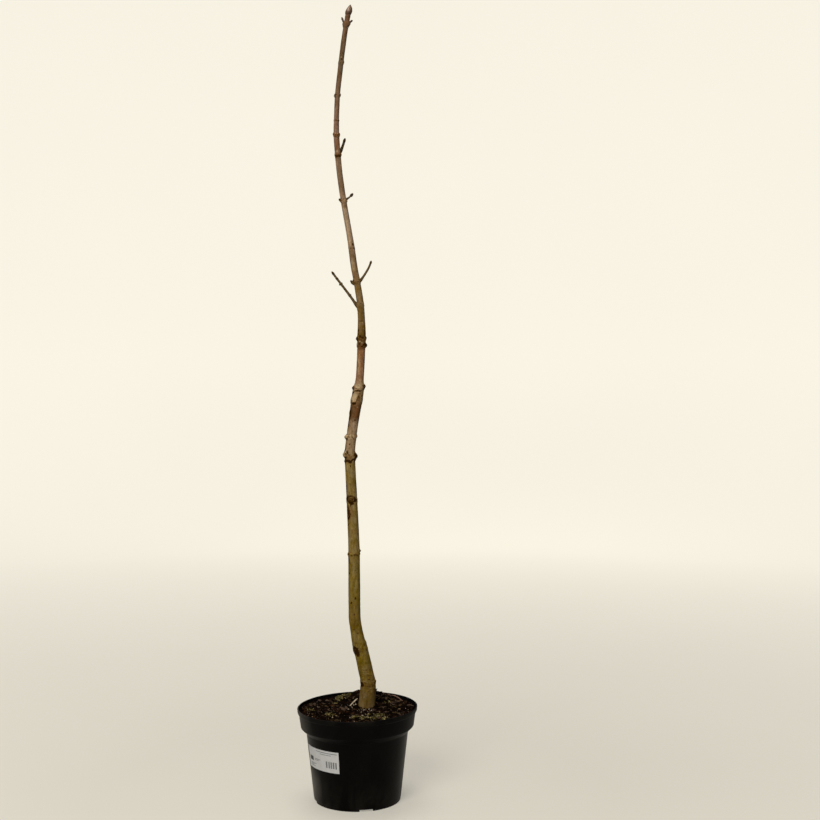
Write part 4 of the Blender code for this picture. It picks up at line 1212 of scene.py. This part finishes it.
# Moss cushions: (x, y, radius, number of shoots, rise in the middle).
MOSS_SPOTS = metres((0, 1, 2, 4), [
    (-38, 83, 16.5, 900, 7.2), (-47, 94, 9, 210, 4.6), (-24, 86, 7, 120, 3.6), (-50.5, 44.5, 8, 90, 2),
    (-64, -46, 10.5, 120, 2.2), (-55, -60, 8, 90, 2), (0, -80, 11, 260, 3.4), (17, -86, 12, 200, 3),
    (36, -88, 11, 170, 3), (52, -68, 12.5, 160, 4), (63, -90, 10, 80, 2.4), (26, -56, 7, 50, 1.8),
    (70, 48, 9, 60, 1.8), (10, 120, 13, 120, 2), (-105, -6, 10, 60, 1.5),
])
# Small pale grains that show in the photo, by place.
PALE_SPOTS = metres((0, 1), [
    (-8.4, 23.5), (-4.3, 18.8), (26.7, -9.5), (26.7, -47.8), (-52.3, -75.7), (4.3, -79.6), (12.6, -63.6),
    (26.4, -77), (-13, 12), (4, -13), (15, -17), (33, -20), (-20, -10), (29, -30),
])


def from_stem(x, y):
    return np.hypot(x - STEM_PLACE[0], y - STEM_PLACE[1])


def soil_height(x, y):
    """Height of the compost's surface, as built, away from the flat seat under the stem."""
    aside = (x - MOUND_CENTRE[0]) / MOUND_REACH[0]
    behind = (y - MOUND_CENTRE[1]) / MOUND_REACH[1]
    ripple = 0.0006 * np.sin(61 * x + 1.3) * np.cos(53 * y - 0.4)
    return SOIL_LEVEL + RIM_SLANT * x + ripple + MOUND_RISE * bell(np.hypot(aside, behind))


def bed_height(x, y):
    """The loose surface: lumps on the compost's own height, banked up on both sides of the stem."""
    at = stacked(x, y, 0 * x)
    lumps = 0.0011 * layered(at, (0.011, 0.011, 1.0), 71)
    lumps = lumps + 0.0005 * layered(at, (0.0032, 0.0032, 1.0), 79, 2)
    near = from_stem(x, y)
    out = step((near - 0.018) / 0.012)
    drift = 0.0046 * bell((near - 0.0205) / 0.0120) * ((x - STEM_PLACE[0]) / np.maximum(near, MM)) ** 2
    return (STEM_FOOT - 0.0006) * (1 - out) + (soil_height(x, y) + lumps - 0.0008) * out + drift


def make_bed():
    """The compost as one closed piece, its top in fine lumps."""
    turns = around(SOIL_SIDES)
    share = np.linspace(0.012, 1, SOIL_ROWS)[:, None]
    x = STEM_PLACE[0] * (1 - share) + share * SOIL_EDGE * np.cos(turns)
    y = STEM_PLACE[1] * (1 - share) + share * SOIL_EDGE * np.sin(turns)
    top = stacked(x, y, bed_height(x, y))
    side = (
        (BAND_BASE[0] - WALL - 0.0008, BAND_BASE[1] + 0.0030),
        (BODY_TOP[0] - WALL - 0.0008, BODY_TOP[1] + 0.0020),
        (BODY_BASE[0] - WALL - 0.0012, FLOOR_UNDERSIDE + WALL + 0.0040),
        (BODY_BASE[0] - WALL - 0.0047, FLOOR_UNDERSIDE + WALL + 0.0005),
    )
    skirt = [slanted(standing(r, turns, z)) for r, z in side]
    points, faces = closed_tube(np.concatenate([top, skirt]))
    look = litter_look("peat", SOIL_TONES["peat"], 0.5)
    bed = make_piece("compost_bed", points, faces, [look], "compost")
    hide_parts("soil")
    return look


def chip_shape(rng, corners, thin):
    """A broken slab of bark about 2 long, 2 wide and 2 thick, to be scaled to its size."""
    turns = np.sort(around(corners) + rng.uniform(-0.30, 0.30, corners))
    reach = rng.uniform(0.72, 1.0, corners)
    rows = []
    for wide, level in ((0.80, -1.0), (1.0, -0.35), (0.97, 0.45), (0.72, 1.0)):
        jitter = rng.uniform(-0.09, 0.09, (3, corners))
        rise = level + 2.5 * jitter[2] - 0.5 * thin * np.cos(turns) ** 2
        rows.append(standing(wide * reach, turns, rise, jitter[0], jitter[1]))
    return closed_tube(np.array(rows))


def crumb_shape(rng):
    """A rough lump from a ball of twenty faces."""
    bm = bmesh.new()
    bmesh.ops.create_icosphere(bm, subdivisions=1, radius=1.0)
    points = np.array([vert.co[:] for vert in bm.verts]) * rng.uniform(0.65, 1.15, (len(bm.verts), 1))
    faces = [[vert.index for vert in face.verts] for face in bm.faces]
    bm.free()
    return points, faces


def inside_pot(rng, count, reach):
    """Random places on the compost's disc."""
    radius = reach * np.sqrt(rng.uniform(0, 1, count))
    turns = rng.uniform(0, TAU, count)
    return radius * np.cos(turns), radius * np.sin(turns)


def clear_of(x, y, length, yaw):
    """Which pieces lie inside the wall with both ends, and off the stem."""
    along, aside = length * np.cos(yaw), length * np.sin(yaw)
    ends = [np.hypot(x + side * along, y + side * aside) for side in (-1, 0, 1)]
    return (np.max(ends, axis=0) < 0.1292) & (from_stem(x, y) > STEM_CLEAR)


def strew(name, shapes, x, y, lift, keep, turns, sizes, tones, looks, slot="compost", sharp=0):
    """Scatters shapes over the bed, at a lift above it, where keep is true."""
    places = stacked(x, y, bed_height(x, y) + lift)
    scatter(name, shapes, places[keep], turns[keep], sizes[keep], tones[keep], looks, slot, sharp)


def make_chips(looks):
    """Chips of bark in a loose layer, with more of them heaped on the mound behind the stem."""
    rng = np.random.default_rng(21)
    shapes = [chip_shape(rng, corners, rng.uniform(0, 0.6)) for corners in (5, 6, 7, 6, 8, 5, 7)]
    count, heap = 2100, 330
    x, y = inside_pot(rng, count + heap, LITTER_REACH - 0.001)
    spin = rng.uniform(0, TAU, heap)
    out = rng.uniform(0, 1, heap) ** 0.6
    x[count:] = MOUND_CENTRE[0] + 0.052 * out * np.cos(spin)
    y[count:] = MOUND_CENTRE[1] + 0.032 * out * np.sin(spin)
    total = count + heap
    long = rng.uniform(0.0024, 0.0088, total) * rng.choice((0.6, 1.0, 1.35), total, p=(0.45, 0.42, 0.13))
    wide = long * rng.uniform(0.30, 0.62, total)
    thick = rng.uniform(0.0005, 0.0012, total)
    yaw = rng.uniform(0, TAU, total)
    keep = clear_of(x, y, long, yaw)
    tilt = rng.normal(0, 0.22, total)
    tilt[count:] *= 0.5
    roll = rng.normal(0, 0.30, total)
    lift = rng.uniform(0.0004, 0.0024, total) + 0.4 * long * np.abs(np.sin(tilt))
    lift[count:] -= rng.uniform(0.0002, 0.0012, heap)
    sizes = stacked(long, wide, thick)
    # About a tenth of the chips are grey, partly painted glints of wet bark.
    tones = rng.choice(6, total, p=(0.33, 0.33, 0.17, 0.06, 0.10, 0.01))
    strew("bark_chips", shapes, x, y, lift, keep, turned(yaw, tilt, roll), sizes, tones, looks)


def make_crumbs(looks):
    """Crumbs of compost over everything, and a drift of them against the stem and the wall."""
    rng = np.random.default_rng(22)
    shapes = [crumb_shape(rng) for i in range(6)]
    count, drift = 4300, 900
    x, y = inside_pot(rng, count + drift, LITTER_REACH)
    turns = rng.uniform(0, TAU, drift)
    half = drift // 2
    x[count : count + half] = STEM_PLACE[0] + rng.uniform(STEM_CLEAR, 0.030, half) * np.cos(turns[:half])
    y[count : count + half] = STEM_PLACE[1] + rng.uniform(STEM_CLEAR, 0.030, half) * np.sin(turns[:half])
    rest = drift - half
    x[count + half :] = rng.uniform(0.1235, 0.1290, rest) * np.cos(turns[half:])
    y[count + half :] = rng.uniform(0.1235, 0.1290, rest) * np.sin(turns[half:])
    total = count + drift
    size = rng.uniform(0.0005, 0.0015, total) * rng.choice((0.7, 1.0, 1.4), total, p=(0.4, 0.45, 0.15))
    keep = from_stem(x, y) > 0.0205
    lift = rng.uniform(0.0, 0.0030, total)
    sizes = size[:, None] * rng.uniform(0.6, 1.2, (total, 3))
    spins = turned(*rng.uniform(0, TAU, (3, total)))
    tones = rng.choice(6, total, p=(0.55, 0.27, 0.11, 0.03, 0.03, 0.01))
    strew("compost_crumbs", shapes, x, y, lift, keep, spins, sizes, tones, looks)


def make_pale_bits(look):
    """Pale grains, those that show in the photo first, and most of the others in front of the stem."""
    rng = np.random.default_rng(23)
    shapes = [crumb_shape(rng) for i in range(4)]
    count, seen = 84, len(PALE_SPOTS)
    x, y = inside_pot(rng, count, 0.125)
    x[:seen], y[:seen] = zip(*PALE_SPOTS)
    x[seen : seen + 30] = rng.normal(0.012, 0.026, 30)
    y[seen : seen + 30] = rng.normal(-0.046, 0.030, 30)
    size = rng.uniform(0.0005, 0.0011, count)
    size[:seen] = 0.0017
    keep = from_stem(x, y) > 0.0235
    sizes = size[:, None] * rng.uniform(0.6, 1.3, (count, 3))
    spins = turned(*rng.uniform(0, TAU, (3, count)))
    tones = np.zeros(count, int)
    strew("pale_grains", shapes, x, y, 0.0030, keep, spins, sizes, tones, [look], "bare_wood")


def make_moss():
    """Cushions of moss: thin leaning shoots, close together, in three greens, the near-black one partly
    painted shade and the pale one partly painted highlight.
    """
    rng = np.random.default_rng(24)
    turns = np.array((0.0, 2.1, 4.2))
    levels = ((0.0, 0.55), (0.35, 1.0), (0.7, 0.8), (1.0, 0.15))
    blade = [stacked(at, wide * np.cos(turns), wide * np.sin(turns)) for at, wide in levels]
    shape = closed_tube(np.array(blade))
    xs, ys, rise = [], [], []
    for cx, cy, reach, count, tall in MOSS_SPOTS:
        out = reach * np.sqrt(rng.uniform(0, 1, count)) * rng.uniform(0.5, 1.35, count)
        turns = rng.uniform(0, TAU, count)
        xs.append(cx + out * np.cos(turns))
        ys.append(cy + out * np.sin(turns))
        rise.append(tall * rng.uniform(0.25, 1.0, count) ** 0.5 * bell(out / (1.3 * reach)))
    x, y, rise = (np.concatenate(values) for values in (xs, ys, rise))
    total = len(x)
    tuft = grain(stacked(x, y, rise), (0.0042, 0.0042, 0.0034), 91)
    keep = clear_of(x, y, 0.001, 0.0) & (grain(stacked(x, y, 0 * x), (0.0056, 0.0056, 1), 92) > -0.30)
    yaw = rng.uniform(0, TAU, total)
    tilt = -math.pi / 2 + np.abs(rng.normal(0, 0.80, total))
    long = rng.uniform(0.0016, 0.0046, total)
    sizes = stacked(long, rng.uniform(0.0003, 0.0007, total), rng.uniform(0.0003, 0.0006, total))
    tuft = tuft + rng.normal(0, 0.42, total)
    # Patches of shoots take the near-black green, which is partly painted shade, and others the pale green,
    # which is partly painted highlight.
    tones = np.where(tuft > 0.52, 2, np.where(tuft > 0.0, 0, 1))
    looks = [litter_look(f"moss_{i + 1}", tone, 0.30, 0.85) for i, tone in enumerate(MOSS_TONES_AND_PAINTED_LIGHT)]
    spins = turned(yaw, tilt, rng.uniform(0, TAU, total))
    strew("moss_tufts", [shape], x, y, rise + 0.0012, keep, spins, sizes, tones, looks, sharp=60)


def fibre(points, radii):
    """(points, faces) of a thin closed tube through places, one radius at each."""
    ways = np.gradient(points, axis=0)
    ways /= np.linalg.norm(ways, axis=1)[:, None]
    aside = np.cross(ways, (0, 0, 1.0))
    aside /= np.maximum(np.linalg.norm(aside, axis=1), 1e-9)[:, None]
    up = np.cross(aside, ways)
    turns = around(6)[None, :, None]
    ring = np.cos(turns) * aside[:, None] + np.sin(turns) * up[:, None]
    return closed_tube(points[:, None] + radii[:, None, None] * ring)


def make_rootlets(looks):
    """Thin bent rootlets and stalks that lie on the compost, one long pale one at the back right."""
    rng = np.random.default_rng(25)
    parts = []
    steps = 12
    routes = [(0.0908, 0.0752, -1.045, 0.062, 0.0012, 1), (0.0640, 0.0980, -0.55, 0.034, 0.0009, 1)]
    while len(routes) < 150:
        x, y = (float(value[0]) for value in inside_pot(rng, 1, 0.118))
        yaw, length, thick = rng.uniform((0, 0.006, 0.00018), (TAU, 0.024, 0.00042))
        routes.append((x, y, yaw, length, thick, 0))
    for number, (x, y, yaw, length, thick, kind) in enumerate(routes):
        bend = yaw + np.cumsum(rng.normal(0, 0.06 if kind else 0.26, steps))
        xs = x + np.cumsum(np.cos(bend)) * length / steps
        ys = y + np.cumsum(np.sin(bend)) * length / steps
        xs, ys = xs - xs.mean() + x, ys - ys.mean() + y
        if np.hypot(xs, ys).max() > 0.1280 or from_stem(xs, ys).min() < 0.0240:
            continue
        arch = 0.0014 * np.sin(np.linspace(0.2, math.pi - 0.2, steps)) * rng.uniform(0.2, 1.0)
        bed = bed_height(xs, ys)
        zs = bed.max() * 0.35 + bed * 0.65 + 0.0026 + 0.0024 * kind + arch
        taper = thick * np.interp(np.arange(steps), (0, 2, steps - 1), (0.8, 1.0, 0.45))
        parts.append((*fibre(stacked(xs, ys, zs), taper), 1 if kind else (0, 2, 2)[number % 3]))
    points, faces, tones = joined(parts)
    make_piece("rootlets", points, faces, looks, "compost", tones=tones)


def make_splinter(look):
    """The pale splinter beside the stem: a flat split piece with torn ends and a raised grain."""
    start, end = (np.array(place) for place in CHIP_ENDS)
    along = end - start
    length = np.linalg.norm(along)
    along /= length
    aside = np.array((-along[1], along[0], 0.0))
    aside /= np.linalg.norm(aside)
    up = np.cross(along, aside)
    up = up if up[2] > 0 else -up
    share = np.linspace(0, 1, 40)
    widths = ((0, 0.30), (0.05, 0.66), (0.25, 0.90), (0.60, 1.0), (0.90, 0.92), (0.97, 0.66), (1, 0.24))
    outline = smooth(widths, share)[:, None]
    share = share[:, None]
    turns = around(20)
    flat = np.stack([np.sign(np.cos(turns)) * np.abs(np.cos(turns)) ** 0.6, np.sin(turns)])
    spot = stacked(flat[0] * 2.0, flat[1], share * length / MM)
    grained = 1 + 0.16 * layered(spot, (0.5, 0.5, 9.0), 81)
    wide = 0.0019 * outline * flat[0] * grained
    thick = 0.00075 * (0.5 + 0.5 * outline) * flat[1] * grained
    bow = 0.0008 * np.sin(math.pi * share)
    middle = start + share * (end - start)
    grid = middle[:, None] + wide[..., None] * aside + (thick + bow)[..., None] * up
    points, faces = closed_tube(grid)
    chip = make_piece("pale_splinter", points, faces, [look], "bare_wood", sharp=50)
    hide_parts("wood_chip")


def make_compost():
    peat = make_bed()
    barks = ("black_bark", "brown_bark", "red_bark", "grey_bark_and_glint", "straw")
    looks = [peat, *(litter_look(name, SOIL_TONES[name]) for name in barks)]
    make_chips(looks)
    make_crumbs(looks)
    wood = litter_look("pale_wood", SOIL_TONES["pale_wood"], 0.22, 0.75)
    make_pale_bits(wood)
    make_moss()
    rootlet = litter_look("rootlet", (0.225, 0.128, 0.092), 0.3, 0.7)
    make_rootlets([looks[2], rootlet, looks[5]])
    make_splinter(wood)


# Stage, light and camera.

STAGE_SIDES = 96
FLOOR_GAP = 0.0003
CAMERA_PLACE = (0.1193, -3.3476, 1.0927)
CAMERA_DIP = 3.577
CAMERA_LENS = 65.85


def make_stage():
    """A pale floor, and round it a wall that curves up and only the camera sees."""
    near, reach, cove, top = 2.2, 4.9, 1.3, 4.4
    bends = [math.pi / 2 * i / 12 for i in range(13)]
    rise = [(reach - cove + cove * math.sin(bend), cove - cove * math.cos(bend)) for bend in bends]
    parts = (
        ("floor", [(0.2, 0.0), (1.0, 0.0), (near, 0.0)], True),
        ("wall", [(near, 0.0), (2.8, 0.0), *rise, (reach, top)], False),
    )
    look = Look("backdrop", (0.80, 0.77, 0.71), 0.9, 0.1)
    clouds = look.noise(0.9, 3, 0.5)
    tone = look.mix(look.vary(clouds, 0.0, 1.0), (0.395, 0.374, 0.322), (0.410, 0.388, 0.336))
    away = look.add("VectorMath", {0: look.place}, operation="LENGTH").outputs["Value"]
    glow = look.spread(away, 0.6, 4.9, 0.31, 0.76)
    look.put(look.shader, {"Emission Color": (1.0, 0.960, 0.835), "Emission Strength": glow})
    paint = look.finish(tone)
    turns = around(STAGE_SIDES)
    for name, profile, whole in parts:
        radius, z = (np.array(column)[:, None] for column in zip(*profile))
        grid = standing(radius, turns, z - FLOOR_GAP)
        points, faces = grid.reshape(-1, 3), rows_of_faces(len(profile), STAGE_SIDES)
        if whole:
            points = np.concatenate([points, [(0, 0, -FLOOR_GAP)]])
            faces += fan(np.arange(STAGE_SIDES), len(points) - 1, False)
        stage = make_piece(name, points, faces, [paint], None)
        stage.visible_diffuse = False
        stage.visible_glossy = stage.visible_shadow = whole


def make_lamp(name, place, aim, size, power, colour, shiny=True):
    data = bpy.data.lights.new(name, "AREA")
    data.shape = "DISK"
    data.size = size
    data.energy = power
    data.color = colour
    lamp = placed(name, data)
    lamp.location = place
    lamp.rotation_euler = (Vector(aim) - Vector(place)).to_track_quat("-Z", "Y").to_euler()
    lamp.visible_camera = False
    lamp.visible_glossy = shiny


def make_light():
    world = bpy.data.worlds.new("studio")
    world.use_nodes = True
    back = world.node_tree.nodes["Background"]
    back.inputs["Color"].default_value = (1.0, 0.97, 0.92, 1)
    back.inputs["Strength"].default_value = 0.22
    bpy.context.scene.world = world
    make_lamp("key", (-1.3, -3.6, 2.9), (0, 0, 0.9), 2.4, 150, (1.0, 0.97, 0.92))
    make_lamp("fill", (2.9, -2.2, 2.0), (0, 0, 0.7), 1.6, 4, (1.0, 0.97, 0.93))
    make_lamp("top", (-0.3, 0.4, 3.7), (0, 0, 0.0), 1.8, 42, (1.0, 0.98, 0.95))
    make_lamp("back", (0.9, 6.4, 1.9), (0, 0, 0.8), 2.8, 120, (1.0, 0.97, 0.93), False)


def make_camera():
    data = bpy.data.cameras.new("camera")
    data.sensor_width = 36.0
    data.lens = CAMERA_LENS
    data.clip_end = 40.0
    camera = placed("camera", data)
    camera.location = CAMERA_PLACE
    camera.rotation_euler = (math.radians(90 - CAMERA_DIP), 0, 0)
    bpy.context.scene.camera = camera


def main():
    make_camera()
    make_stem()
    make_lenticels()
    brown = twig_look("twig_brown", (0.100, 0.062, 0.021))
    black = twig_look("twig_dark", (0.044, 0.026, 0.008))
    small = bud_look("side_bud_scales", (0.062, 0.031, 0.017), (0.088, 0.048, 0.027), (0.052, 0.028, 0.017))
    for shoot in SHOOTS:
        if shoot[0].startswith("side_bud"):
            make_shoot(shoot, small, "bud_scales")
        else:
            make_shoot(shoot, black if "top" in shoot[0] else brown, "twig_bark")
    make_end_bud()
    make_pot()
    make_label()
    make_compost()
    make_stage()
    make_light()
    view = bpy.context.scene.view_settings
    view.view_transform = "Standard"
    view.look = "None"


main()
